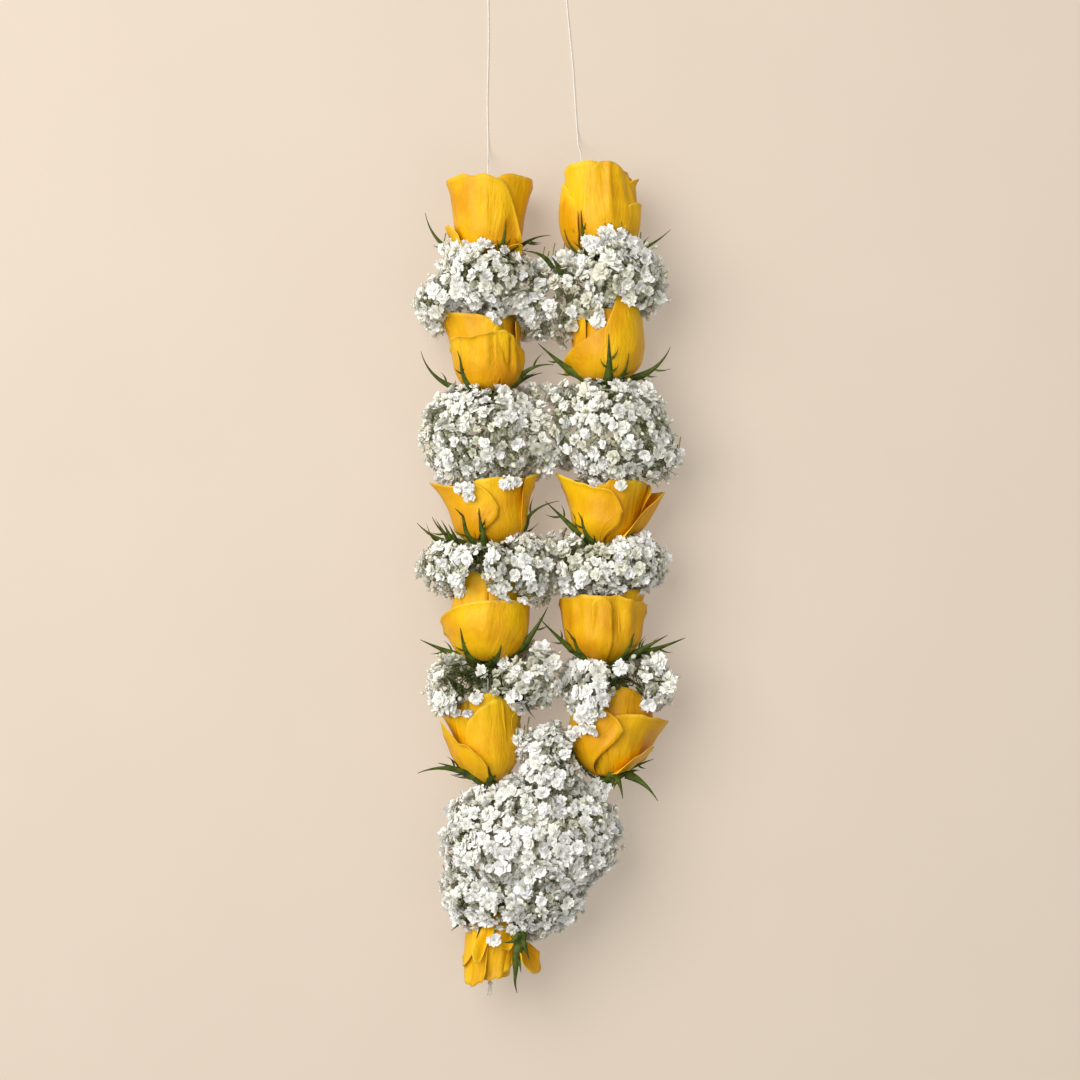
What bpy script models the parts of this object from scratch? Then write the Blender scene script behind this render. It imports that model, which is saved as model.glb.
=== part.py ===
"""Rose and baby's breath garland, lying face up on a flat surface.

Two strands of yellow roses and bunches of white baby's breath are threaded side by side, and
meet in one pendant bunch with a last rose at its tip. +Y runs up the garland, from the tip
to the loose thread ends, +X to its right and +Z up from the surface that it lies on.
"""

import math
import random

import bmesh
import bpy
import numpy as np
from mathutils import Matrix, Vector
from mathutils.bvhtree import BVHTree

MM = 0.001
SEED = 11
GAP = 0.3 * MM
# What lies closer than this after a join or a cut is made one.
WELD = 0.02 * MM
# Longer than anything that is cut.
FAR = 0.5

# Both strands lie this high, so that the bunches round them press flat on the surface.
STRAND_HEIGHT = 34 * MM

# Each rose, in millimetres and degrees: base x, base y, mouth x, mouth y, radius of the
# bloom, how far its rims flare, and which way its first petal faces. 0 is up from the
# surface and 90 is to the garland's right.
ROSES = {
    "left_1": (-34.2, 189.0, -33.6, 240.6, 21.0, 36, -10),
    "left_2": (-33.6, 111.0, -36.0, 160.0, 21.0, 16, 35),
    "left_3": (-32.4, 19.0, -35.4, 61.0, 21.5, 62, -20),
    "left_4": (-35.4, -51.0, -33.6, 3.0, 25.0, 16, -35),
    "left_5": (-32.8, -124.0, -38.4, -71.0, 22.0, 34, -40),
    "right_1": (32.4, 191.4, 32.4, 248.0, 23.0, 10, 10),
    "right_2": (36.0, 117.0, 34.8, 165.0, 22.5, 16, 30),
    "right_3": (34.8, 16.8, 38.0, 61.0, 20.5, 62, -25),
    "right_4": (34.8, -53.4, 34.2, -9.0, 23.6, 18, -14),
    "right_5": (35.4, -120.0, 40.4, -68.5, 22.5, 44, 35),
    "tip": (-30.0, -198.0, -33.6, -243.0, 19.0, 30, 15),
}
# The layer of each outer petal, 0 being outermost. They grow 72 degrees apart.
PETAL_LAYERS = (0, 1, 0, 1, 2)
LAYER_STEP = 1.9 * MM
# Roses with an open mouth, where the inner petals show.
OPEN_ROSES = ("left_1", "right_1", "tip")
INNER_PETALS = 2
PETAL_THICKNESS = 0.9 * MM
PETAL_COLUMNS = 4
PETAL_ROWS = (0.0, 0.33, 0.72, 1.0)
# A petal's root inside the heart: radius by bloom radius, height by bloom height.
PETAL_ROOT = (0.5, 0.1)
# Slope of a petal from base to rim, in degrees from the rose's axis. An outer petal's rim
# flares further.
OUTER_SLOPES = (58, 30, 8, -3, -4, 6)
INNER_SLOPES = (60, 30, 4, -8, -14, -20)
# Half-width of a petal from base to rim, as a share of its widest.
PETAL_WIDTHS = (0.6, 0.8, 0.94, 1.0, 0.96, 0.74)
# No petal hangs lower than this above the surface.
PETAL_FLOOR = 1.2 * MM
# The turned heart inside the petals, from its top down: radius and height as shares.
HEART_SIDES = 7
HEART = ((0.0, 0.86), (0.4, 0.74), (0.6, 0.5), (0.8, 0.22), (0.66, 0.07), (0.4, -0.01), (0.0, -0.01))

# The five sepals of each rose: which way each faces, its length in millimetres and how far
# it leans away from the bloom, both angles in degrees. One that leans 0 lies on the petals.
SEPALS = {
    "left_1": ((-92, 36, 46), (28, 34, 0), (50, 25, 0), (95, 25, 60), (190, 22, 0)),
    "left_2": ((-84, 40, 44), (-42, 30, 0), (75, 26, 44), (110, 30, 52), (190, 22, 0)),
    "left_3": ((-62, 30, 40), (-28, 28, 0), (8, 26, 0), (84, 38, 38), (190, 22, 0)),
    "left_4": ((-88, 34, 62), (-22, 24, 0), (24, 22, 0), (70, 40, 40), (190, 22, 0)),
    "left_5": ((-80, 42, 60), (-48, 32, 44), (0, 20, 0), (120, 22, 0), (190, 22, 0)),
    "right_1": ((-30, 36, 0), (-62, 28, 0), (40, 22, 0), (88, 24, 58), (190, 22, 0)),
    "right_2": ((-80, 42, 44), (4, 38, 0), (28, 26, 0), (84, 38, 52), (190, 22, 0)),
    "right_3": ((-72, 40, 40), (-36, 26, 0), (60, 22, 0), (130, 22, 0), (200, 22, 0)),
    "right_4": ((-68, 38, 48), (30, 26, 0), (62, 32, 44), (96, 38, 62), (190, 22, 0)),
    "right_5": ((36, 24, 0), (68, 34, 62), (110, 34, 70), (-70, 24, 0), (190, 22, 0)),
    "tip": ((-34, 48, 0), (-84, 30, 30), (30, 24, 0), (120, 22, 0), (200, 22, 0)),
}
SEPAL_WIDTH = 4.4 * MM
SEPAL_THICKNESS = 1.0 * MM
SEPAL_CLEARANCE = 1.1 * MM
# Where a sepal starts inside the hip: off its axis, and under its top.
SEPAL_ROOT = 3.4 * MM
SEPAL_SINK = 1.6 * MM
# A sepal is traced on the bloom from a point this share of its height up the axis, at angles
# in degrees from straight down: the first one, and the step to the next.
SEPAL_MIDDLE = 0.35
SEPAL_FIRST_ANGLE = 26.0
SEPAL_ANGLE_STEP = 2.0
# Places along a sepal, and its width at each but the tip, as shares.
SEPAL_STATIONS = (0.0, 0.2, 0.42, 0.7, 1.0)
SEPAL_WIDTHS = (0.8, 1.0, 0.9, 0.62)
# A sepal that leans away first follows the bloom for this far.
SEPAL_HUG = 11 * MM
HIP_RADIUS = 6.4 * MM
HIP_FOOT_RADIUS = 3.6 * MM
HIP_LENGTH = 6.5 * MM
HIP_TOP = -1.0 * MM
HIP_SIDES = 7

# Each bunch of baby's breath is made of swells: x, y, height of the middle, half-width,
# half-length and half-depth, in millimetres. The first one holds the bunch's middle.
BUNCHES = {
    "left_1": (
        (-35.4, 177, 34, 31, 26, 36),
        (-63.6, 163, 34, 17, 19, 22),
        (-5.0, 166, 28, 21, 25, 24),
    ),
    "left_2": (
        (-36.6, 85, 34, 40, 33, 37),
        (-4.0, 88, 29, 18, 28, 26),
    ),
    "left_3": (
        (-39.6, 6, 34, 37, 22, 36),
        (-12.6, 4, 36, 24, 23, 31),
    ),
    "left_4": (
        (-34.8, -62, 33, 28, 19, 34),
        (-57.6, -66, 34, 16, 22, 28),
        (-10.0, -60, 36, 25, 22, 30),
    ),
    "right_1": (
        (43.2, 180, 34, 29, 28, 36),
        (60.0, 172, 34, 14, 18, 24),
        (13.4, 165, 29, 20, 27, 25),
    ),
    "right_2": (
        (39.6, 88, 34, 35, 35, 37),
        (64.4, 73, 33, 16, 21, 22),
        (8.4, 91, 31, 18, 26, 28),
    ),
    "right_3": (
        (38.4, 7, 34, 35, 21, 36),
        (14.4, 6, 33, 18, 20, 28),
    ),
    "right_4": (
        (38.0, -62, 33, 28, 19, 34),
        (27.0, -68, 37, 20, 22, 30),
        (63.0, -63, 34, 16, 18, 22),
    ),
    "pendant": (
        (-8.0, -155, 35, 54, 38, 41),
        (4.2, -112, 40, 20, 26, 26),
        (-15.0, -192, 34, 38, 25, 32),
    ),
}
FLORETS = {"pendant": 150}
FLORETS_PER_BUNCH = 74
# A floret stands proud of its bunch at its middle, with a pit wherever three of them meet.
FLORET_PEAK = 2.2 * MM
FLORET_PIT = -4.4 * MM
FLORET_UNEVEN = 1.5 * MM
# How far a floret may lie off its even place, as a share of the space that it has.
FLORET_STRAY = 0.35
# How crisply one swell passes into the next.
SWELL_BLEND = 12
# Neighbouring bunches press against each other here: across the garland at each level, and
# along it above the pendant bunch.
MEETING_X = {"1": 3.6 * MM, "2": 1.2 * MM, "3": 3.6 * MM, "4": 7.0 * MM}
MEETING_Y = -87.0 * MM
# The bundle of cut stems inside each bunch, and how deep it is fluted.
STEM_BUNDLE_RADIUS = 3.6 * MM
STEM_BUNDLE_FLUTE = 0.74
STEM_BUNDLE_SIDES = 8
# How far a bundle reaches into the mouth of the bloom below it.
STEM_BUNDLE_END = 4 * MM

# Threads: plan points in millimetres, at strand height.
THREAD_RADIUS = 0.5 * MM
BORE_RADIUS = 0.98 * MM
# How far a bore runs past the ends of its thread.
LEFT_BORE_OVERRUN = 5 * MM
RIGHT_BORE_OVERRUN = 3 * MM
# Bevel resolution of threads and bores, which gives them six sides.
TUBE_ROUNDNESS = 1
LEFT_THREAD = (
    (-34.8, 240.4), (-34.8, 180.0), (-34.8, 100.0), (-34.8, 20.0), (-34.8, -60.0),
    (-34.8, -130.0), (-34.4, -165.0), (-32.6, -185.0), (-31.4, -199.0), (-32.4, -222.0),
    (-33.4, -241.5),
)
RIGHT_THREAD = (
    (21.6, 247.6), (25.6, 228.0), (30.2, 206.0), (31.8, 190.0), (34.6, 165.0),
    (35.8, 117.0), (37.0, 61.0), (35.0, 5.0), (34.8, -53.0), (38.2, -68.0),
    (36.0, -120.0), (27.0, -142.0), (2.0, -159.0), (-26.0, -175.0),
)
# Loose thread ends: plan points with the height of the thread's middle, in millimetres.
# Each one leaves its rose's mouth, falls over the rim and lies along the surface.
LEFT_TAIL = (
    (-34.8, 240.7, 34.0), (-34.8, 244.6, 33.2), (-34.9, 248.6, 28.4), (-35.0, 251.2, 20.0),
    (-35.1, 253.6, 11.0), (-35.3, 257.4, 4.2), (-35.4, 263.6, 1.0), (-35.5, 272.0, 0.55),
    (-35.9, 290.0, 0.55), (-35.5, 310.0, 0.55), (-35.1, 332.0, 0.55), (-35.5, 358.0, 0.55),
)
RIGHT_TAIL = (
    (21.5, 247.9, 34.0), (21.1, 251.8, 33.2), (20.7, 255.8, 28.4), (20.5, 258.4, 20.0),
    (20.2, 260.8, 11.0), (19.8, 264.6, 4.2), (19.3, 270.8, 1.0), (18.7, 279.0, 0.55),
    (17.6, 296.0, 0.55), (16.4, 314.0, 0.55), (14.3, 335.0, 0.55), (12.2, 358.0, 0.55),
)
TAIL_POINTS = 20
KNOT_RADIUS = 1.6 * MM
# A loose knot lies this far clear of the surface.
KNOT_CLEARANCE = 0.05 * MM
TIP_KNOT = (-33.5, -243.8)
TIP_THREAD_END = (
    (-33.5, -243.6, 34.0), (-33.6, -246.4, 33.8), (-33.9, -249.4, 33.0), (-34.4, -252.0, 31.6),
)

# Colour and roughness of each material.
FINISHES = {
    "petal": ((0.91, 0.56, 0.02, 1.0), 0.5),
    "sepal": ((0.09, 0.17, 0.04, 1.0), 0.6),
    "floret": ((0.84, 0.85, 0.80, 1.0), 0.75),
    "thread": ((0.88, 0.85, 0.78, 1.0), 0.8),
}


def clear_scene():
    for obj in list(bpy.data.objects):
        bpy.data.objects.remove(obj)
    for name in ("garland", "cutters"):
        collection = bpy.data.collections.new(name)
        bpy.context.scene.collection.children.link(collection)


def finish(name):
    """The material of that name, made at its first use."""
    material = bpy.data.materials.get(name)
    if material:
        return material
    colour, roughness = FINISHES[name]
    material = bpy.data.materials.new(name)
    material.use_nodes = True
    shader = material.node_tree.nodes["Principled BSDF"]
    shader.inputs["Base Color"].default_value = colour
    shader.inputs["Roughness"].default_value = roughness
    shader.inputs["Metallic"].default_value = 0.0
    return material


def add_piece(name, data, look, matrix=Matrix()):
    """A named piece of the garland."""
    piece = bpy.data.objects.new(name, data)
    bpy.data.collections["garland"].objects.link(piece)
    piece.matrix_world = matrix
    data.materials.clear()
    data.materials.append(finish(look))
    return piece


def add_helper(data, matrix=Matrix()):
    """A solid that only cuts or joins, or a guide."""
    helper = bpy.data.objects.new("helper", data)
    bpy.data.collections["cutters"].objects.link(helper)
    helper.matrix_world = matrix
    helper.hide_render = True
    helper.display_type = "WIRE"
    return helper


def mesh_from(build):
    """A mesh filled by build(bm), with its faces pointing out."""
    bm = bmesh.new()
    build(bm)
    bmesh.ops.recalc_face_normals(bm, faces=bm.faces)
    if all(edge.is_manifold for edge in bm.edges) and bm.calc_volume(signed=True) < 0:
        bmesh.ops.reverse_faces(bm, faces=bm.faces)
    mesh = bpy.data.meshes.new("mesh")
    bm.to_mesh(mesh)
    bm.free()
    return mesh


def evaluated_mesh(obj):
    """The object's mesh with its modifiers applied and its loose caps welded."""
    bpy.context.view_layer.update()
    graph = bpy.context.evaluated_depsgraph_get()
    mesh = bpy.data.meshes.new_from_object(obj.evaluated_get(graph))
    bm = bmesh.new()
    bm.from_mesh(mesh)
    bmesh.ops.triangulate(bm, faces=bm.faces)
    bmesh.ops.remove_doubles(bm, verts=bm.verts, dist=WELD)
    bmesh.ops.dissolve_degenerate(bm, edges=bm.edges, dist=WELD)
    bm.to_mesh(mesh)
    bm.free()
    return mesh


def connected_faces(start):
    """The faces of one shell, from one of them."""
    shell, queue = {start}, [start]
    while queue:
        for edge in queue.pop().edges:
            for face in edge.link_faces if edge.is_manifold else ():
                if face not in shell:
                    shell.add(face)
                    queue.append(face)
    return shell


def keep_main_shell(mesh):
    """Drops loose scraps, and fills the hollows that joining has sealed."""
    bm = bmesh.new()
    bm.from_mesh(mesh)
    shells, left = [], set(bm.faces)
    while left:
        shell = connected_faces(next(iter(left)))
        shells.append(shell)
        left -= shell
    shells.sort(key=len, reverse=True)
    loose = [face for shell in shells[1:] for face in shell]
    bmesh.ops.delete(bm, geom=loose, context="FACES")
    bm.to_mesh(mesh)
    bm.free()


def combine(obj, others, operation):
    """Joins the other solids to obj, or cuts them from it, and removes them."""
    group = bpy.data.collections.new("operands")
    bpy.data.collections["cutters"].children.link(group)
    for other in others:
        bpy.data.collections["cutters"].objects.unlink(other)
        group.objects.link(other)
    modifier = obj.modifiers.new("boolean", "BOOLEAN")
    modifier.operation = operation
    modifier.operand_type = "COLLECTION"
    modifier.collection = group
    modifier.solver = "EXACT"
    mesh = evaluated_mesh(obj)
    keep_main_shell(mesh)
    look = obj.data.materials[0]
    obj.modifiers.clear()
    obj.data = mesh
    mesh.materials.clear()
    mesh.materials.append(look)
    for other in others:
        bpy.data.objects.remove(other)
    bpy.data.collections.remove(group)


def shade(piece):
    piece.data.shade_smooth()
    piece.data.set_sharp_from_angle(angle=math.radians(35))


def along(values, share):
    """A list of values read at a share of its length, from 0 to 1."""
    place = min(max(share, 0.0), 1.0) * (len(values) - 1)
    low = min(int(place), len(values) - 2)
    return values[low] + (values[low + 1] - values[low]) * (place - low)


def rose_height(name):
    base_x, base_y, mouth_x, mouth_y = ROSES[name][:4]
    return math.dist((base_x, base_y), (mouth_x, mouth_y)) * MM


def rose_matrix(name):
    """The rose's frame: X up from the surface and Z from its base to its mouth."""
    base_x, base_y, mouth_x, mouth_y = ROSES[name][:4]
    axis = Vector((mouth_x - base_x, mouth_y - base_y, 0)).normalized()
    up = Vector((0, 0, 1))
    turn = Matrix((up, axis.cross(up), axis)).transposed().to_4x4()
    return Matrix.Translation((base_x * MM, base_y * MM, STRAND_HEIGHT)) @ turn


def petal_line(length, slopes, root, widest):
    """Radius and height along a petal's middle, from its root to its rim."""
    steps = 40
    radius, height, line = 0.0, root[1], [(0.0, root[1])]
    for step in range(steps):
        slope = math.radians(along(slopes, (step + 0.5) / steps))
        radius += math.sin(slope) * length / steps
        height += math.cos(slope) * length / steps
        line.append((radius, height))
    belly = max(radius for radius, _ in line[: steps * 3 // 4])
    scale = (widest - root[0]) / belly
    return [(root[0] + radius * scale, height) for radius, height in line]


def petal_point(petal, across, up):
    """A point of a petal in its rose's frame: across from -1 to 1, up from 0 to 1."""
    line = petal["line"]
    reach = up * (1 - petal["round"] * across**2)
    radius = along([point[0] for point in line], reach)
    height = along([point[1] for point in line], reach)
    half_width = petal["width"] * along(PETAL_WIDTHS, up)
    azimuth = petal["azimuth"] + across * half_width / max(radius, petal["width"] / 2)
    radius += petal["corner"] * max(0.0, up - 0.55) * across**2
    low = PETAL_FLOOR - STRAND_HEIGHT
    return Vector((max(radius * math.cos(azimuth), low), radius * math.sin(azimuth), height))


def rose_petals(name):
    """The petals of one rose: five outer ones and, in an open mouth, the inner ones."""
    bloom, flare, first = ROSES[name][4:]
    bloom *= MM
    height = rose_height(name)
    root = (PETAL_ROOT[0] * bloom, PETAL_ROOT[1] * height)
    draw = random.Random(f"{SEED} {name}")
    petals = []
    for index, layer in enumerate(PETAL_LAYERS):
        slopes = OUTER_SLOPES + (flare * (1 - 0.14 * layer) * draw.uniform(0.96, 1.0),)
        widest = bloom - layer * LAYER_STEP
        petals.append({
            "line": petal_line(height * draw.uniform(0.95, 1.0), slopes, root, widest),
            "azimuth": math.radians(first + 72 * index + draw.uniform(-5, 5)),
            "width": widest * draw.uniform(0.92, 1.06),
            "round": draw.uniform(0.08, 0.18),
            "corner": 0.0 if layer else flare * draw.uniform(0.1, 0.22) * MM,
        })
    for index in range(INNER_PETALS if name in OPEN_ROSES else 0):
        petals.append({
            "line": petal_line(height * 0.96, INNER_SLOPES, root, bloom * 0.66),
            "azimuth": math.radians(first + 50 + 180 * index),
            "width": bloom * 0.6,
            "round": 0.16,
            "corner": 0.0,
        })
    return petals


def petal_mesh(petal):
    def build(bm):
        rows = []
        for up in PETAL_ROWS:
            rows.append([
                bm.verts.new(petal_point(petal, 2 * column / PETAL_COLUMNS - 1, up))
                for column in range(PETAL_COLUMNS + 1)
            ])
        for low, high in zip(rows, rows[1:]):
            for left in range(PETAL_COLUMNS):
                bm.faces.new((low[left], low[left + 1], high[left + 1], high[left]))
    return mesh_from(build)


def heart_outline(name):
    """Half the outline of a rose's heart, top to bottom."""
    bloom = ROSES[name][4] * MM
    height = rose_height(name)

    def build(bm):
        points = [bm.verts.new((radius * bloom, 0, rise * height)) for radius, rise in HEART]
        for upper, lower in zip(points, points[1:]):
            bm.edges.new((upper, lower))
    return mesh_from(build)


def turn_outline(piece, steps):
    screw = piece.modifiers.new("turn", "SCREW")
    screw.steps = steps
    screw.render_steps = steps
    screw.use_merge_vertices = True
    screw.merge_threshold = 0.0001


def make_rose(name, bore):
    matrix = rose_matrix(name)
    rose = add_piece(f"rose_{name}", heart_outline(name), "petal", matrix)
    turn_outline(rose, HEART_SIDES)
    blades = []
    for petal in rose_petals(name):
        blade = add_helper(petal_mesh(petal), matrix)
        shell = blade.modifiers.new("thickness", "SOLIDIFY")
        shell.thickness = PETAL_THICKNESS
        shell.offset = 0
        blades.append(blade)
    combine(rose, blades, "UNION")
    combine(rose, [add_helper(bore.copy())], "DIFFERENCE")
    shade(rose)
    return rose


def hull_mesh(points):
    """The convex hull of the points."""
    def build(bm):
        for point in points:
            bm.verts.new(point)
        hull = bmesh.ops.convex_hull(bm, input=bm.verts)
        inside = [item for item in hull["geom_interior"] if isinstance(item, bmesh.types.BMVert)]
        bmesh.ops.delete(bm, geom=inside, context="VERTS")
    return mesh_from(build)


def casing_mesh(points, directions, margin):
    """A solid bounded by one plane in each direction, a margin clear of the points."""
    def build(bm):
        bmesh.ops.create_cube(bm, size=1)
        for direction in directions:
            reach = max(point.dot(direction) for point in points) + margin
            whole = bm.verts[:] + bm.edges[:] + bm.faces[:]
            cut = bmesh.ops.bisect_plane(
                bm, geom=whole, plane_co=direction * reach, plane_no=direction, clear_outer=True
            )["geom_cut"]
            rim = [item for item in cut if isinstance(item, bmesh.types.BMEdge)]
            bmesh.ops.edgeloop_fill(bm, edges=rim)
    return mesh_from(build)


def rose_casing(points):
    """Eight sides and a tapered foot round a rose, clear of it by three gaps."""
    directions = [Vector((0, 0, 1)), Vector((0, 0, -1))]
    for drop in (0.0, -1.1):
        for side in range(8):
            angle = math.tau * side / 8
            directions.append(Vector((math.cos(angle), math.sin(angle), drop)).normalized())
    return casing_mesh(points, directions, 3 * GAP)


def sepal_casing(points):
    """A slot for a sepal that leans away, clear of it by two gaps."""
    along_it = (points[-1] - points[0]).normalized()
    outward = Vector((points[-1].x, points[-1].y, 0)).normalized()
    across = along_it.cross(outward).normalized()
    level = across.cross(along_it)
    directions = [along_it, -along_it, across, -across, level, -level]
    return casing_mesh(points, directions, 2 * GAP)


def sepal_path(tree, middle, azimuth, length, lean):
    """Points of a sepal's middle line: round the bloom's foot, then leaning away from it.

    The tree holds the bloom's hull, and the middle is the point on its axis that the sepal
    is measured from as it rises.
    """
    outward = Vector((math.cos(azimuth), math.sin(azimuth), 0))
    hug = min(SEPAL_HUG, length) if lean else length
    path = [outward * SEPAL_ROOT + Vector((0, 0, HIP_TOP - SEPAL_SINK))]
    travelled, rise = 0.0, SEPAL_FIRST_ANGLE
    while travelled < hug:
        angle = math.radians(rise)
        ray = outward * math.sin(angle) - Vector((0, 0, math.cos(angle)))
        point = tree.ray_cast(middle, ray)[0] + ray * SEPAL_CLEARANCE
        travelled += (point - path[-1]).length
        path.append(point)
        rise += SEPAL_ANGLE_STEP
    if lean:
        forward = outward * math.sin(lean) + Vector((0, 0, math.cos(lean)))
        path.append(path[-1] + forward * (length - travelled))
    return path


def spread(points, shares):
    """Points at the given shares of a path's length."""
    places = np.array([tuple(point) for point in points])
    steps = np.linalg.norm(np.diff(places, axis=0), axis=1)
    lengths = np.concatenate([[0.0], np.cumsum(steps)])
    wanted = np.array(shares) * lengths[-1]
    return [Vector(row) for row in np.column_stack([
        np.interp(wanted, lengths, places[:, axis]) for axis in range(3)
    ])]


def blade_mesh(path):
    """A keeled blade on a path, which tapers to its tip."""
    points = spread(path, SEPAL_STATIONS)

    def build(bm):
        rings = []
        for index, share in enumerate(SEPAL_WIDTHS):
            forward = (points[index + 1] - points[index]).normalized()
            outward = Vector((points[index].x, points[index].y, 0)).normalized()
            across = forward.cross(outward).normalized()
            half = across * SEPAL_WIDTH / 2 * share
            rings.append([
                bm.verts.new(points[index] - half),
                bm.verts.new(points[index] + half),
                bm.verts.new(points[index] + across.cross(forward) * SEPAL_THICKNESS),
            ])
        tip = bm.verts.new(points[-1])
        for lower, upper in zip(rings, rings[1:]):
            for index in range(3):
                after = (index + 1) % 3
                bm.faces.new((lower[index], lower[after], upper[after], upper[index]))
        for index in range(3):
            bm.faces.new((rings[-1][index], rings[-1][(index + 1) % 3], tip))
        bm.faces.new(reversed(rings[0]))
    return mesh_from(build)


def hip_mesh():
    """The green hip under a rose, which its sepals grow from."""
    def build(bm):
        bmesh.ops.create_cone(
            bm, cap_ends=True, segments=HIP_SIDES, radius1=HIP_FOOT_RADIUS, radius2=HIP_RADIUS,
            depth=HIP_LENGTH, matrix=Matrix.Translation((0, 0, HIP_TOP - HIP_LENGTH / 2)),
        )
    return mesh_from(build)


def make_calyx(name, rose, bore):
    """The hip and sepals of one rose, and the cutters that keep florets clear of both."""
    matrix = rose_matrix(name)
    petals = [vertex.co.copy() for vertex in rose.data.vertices]
    bm = bmesh.new()
    bm.from_mesh(hull_mesh(petals))
    tree = BVHTree.FromBMesh(bm)
    bm.free()
    calyx = add_piece(f"calyx_{name}", hip_mesh(), "sepal", matrix)
    blades, slots, close = [], [], []
    middle = Vector((0, 0, SEPAL_MIDDLE * rose_height(name)))
    for azimuth, length, lean in SEPALS[name]:
        path = sepal_path(tree, middle, math.radians(azimuth), length * MM, math.radians(lean))
        blade = blade_mesh(path)
        blades.append(add_helper(blade, matrix))
        corners = [vertex.co.copy() for vertex in blade.vertices]
        if lean:
            slots.append(sepal_casing(corners))
        else:
            close += corners
    combine(calyx, blades, "UNION")
    combine(calyx, [add_helper(bore.copy())], "DIFFERENCE")
    shade(calyx)
    hip = [vertex.co for vertex in hip_mesh().vertices]
    casing = rose_casing(petals + close + hip)
    return [(mesh, matrix) for mesh in [casing] + slots]


def unit_points(count, draw):
    """Directions spread evenly over a sphere, each a little off its place."""
    golden = math.pi * (3 - math.sqrt(5))
    uneven = FLORET_STRAY / math.sqrt(count)
    points = []
    for index in range(count):
        height = 1 - (2 * index + 1) / count
        radius = math.sqrt(1 - height**2)
        point = Vector((radius * math.cos(golden * index), radius * math.sin(golden * index), height))
        point += Vector([draw.uniform(-uneven, uneven) for _ in range(3)])
        points.append(point.normalized())
    return points


def swell_reach(swell, origin, direction):
    """How far a ray gets before it leaves a swell, or 0 where it misses."""
    middle = Vector(swell[:3]) * MM
    sizes = Vector(swell[3:]) * MM
    start = Vector([(a - b) / c for a, b, c in zip(origin, middle, sizes)])
    step = Vector([a / b for a, b in zip(direction, sizes)])
    root = start.dot(step) ** 2 - step.length_squared * (start.length_squared - 1)
    if root < 0:
        return 0.0
    return max(0.0, (math.sqrt(root) - start.dot(step)) / step.length_squared)


def bunch_point(swells, direction, rise):
    """The surface point of a bunch in one direction, raised by a distance."""
    origin = Vector(swells[0][:3]) * MM
    reaches = [swell_reach(swell, origin, direction) for swell in swells]
    blended = sum(reach**SWELL_BLEND for reach in reaches) ** (1 / SWELL_BLEND)
    return origin + direction * (blended + rise)


def bunch_mesh(name):
    """A bunch whose surface is raised into florets."""
    swells = BUNCHES[name]
    draw = random.Random(f"{SEED} {name}")
    low = [min(swell[axis] - swell[axis + 3] for swell in swells) for axis in range(3)]
    high = [max(swell[axis] + swell[axis + 3] for swell in swells) for axis in range(3)]
    sizes = Vector(high) - Vector(low)

    def build(bm):
        for point in unit_points(FLORETS.get(name, FLORETS_PER_BUNCH), draw):
            bm.verts.new(point)
        bmesh.ops.convex_hull(bm, input=bm.verts)
        pits = set(bmesh.ops.poke(bm, faces=bm.faces)["verts"])
        # Between two peaks the surface dips, so the pits are what the edges join.
        ridges = [edge for edge in bm.edges if not pits.intersection(edge.verts)]
        bmesh.ops.rotate_edges(bm, edges=ridges)
        for vertex in bm.verts:
            direction = Vector([a * b for a, b in zip(vertex.co, sizes)]).normalized()
            rise = FLORET_PIT if vertex in pits else FLORET_PEAK
            uneven = draw.uniform(-FLORET_UNEVEN, FLORET_UNEVEN)
            vertex.co = bunch_point(swells, direction, rise + uneven)
            # The florets underneath are pressed flat.
            vertex.co.z = max(vertex.co.z, 0.0)
    return mesh_from(build)


def box_mesh(low, high):
    def build(bm):
        size = Vector(high) - Vector(low)
        bmesh.ops.create_cube(bm, size=1, matrix=Matrix.Translation(
            (Vector(low) + Vector(high)) / 2) @ Matrix.Diagonal((*size, 1)))
    return mesh_from(build)


def neighbour_boxes(name):
    """The space that a bunch leaves to its neighbours."""
    boxes = []
    side, _, level = name.partition("_")
    if level:
        edge = MEETING_X[level]
        if side == "left":
            boxes.append(box_mesh((edge - GAP / 2, -FAR, -FAR), (FAR, FAR, FAR)))
        else:
            boxes.append(box_mesh((-FAR, -FAR, -FAR), (edge + GAP / 2, FAR, FAR)))
    if level == "4":
        boxes.append(box_mesh((-FAR, -FAR, -FAR), (FAR, MEETING_Y + GAP / 2, FAR)))
    if not level:
        boxes.append(box_mesh((-FAR, MEETING_Y - GAP / 2, -FAR), (FAR, FAR, FAR)))
    return boxes


def meets(mesh, matrix, other):
    """Whether a placed mesh's box reaches another mesh's box."""
    first = [matrix @ vertex.co for vertex in mesh.vertices]
    second = [vertex.co for vertex in other.vertices]
    return all(
        min(point[axis] for point in first) < max(point[axis] for point in second)
        and max(point[axis] for point in first) > min(point[axis] for point in second)
        for axis in range(3)
    )


def stem_bundle(name):
    """Where a bunch's cut stems run: from the hip above it down to the next bloom."""
    if name == "pendant":
        top, bottom = "left_5", "tip"
    else:
        side, _, level = name.partition("_")
        top, bottom = f"{side}_{level}", f"{side}_{int(level) + 1}"
    hip = HIP_LENGTH - HIP_TOP + 2 * GAP
    start = ROSES[top][1] * MM - hip
    if name == "pendant":
        end = ROSES[bottom][1] * MM + hip
    else:
        end = ROSES[bottom][3] * MM + STEM_BUNDLE_END
    route = LEFT_THREAD if name == "pendant" or name.startswith("left") else RIGHT_THREAD
    heights = [point[1] for point in reversed(route)]
    sides = [point[0] for point in reversed(route)]
    places = [
        Vector((np.interp(y / MM, heights, sides) * MM, y, STRAND_HEIGHT))
        for y in (start, end)
    ]
    return places


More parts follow.
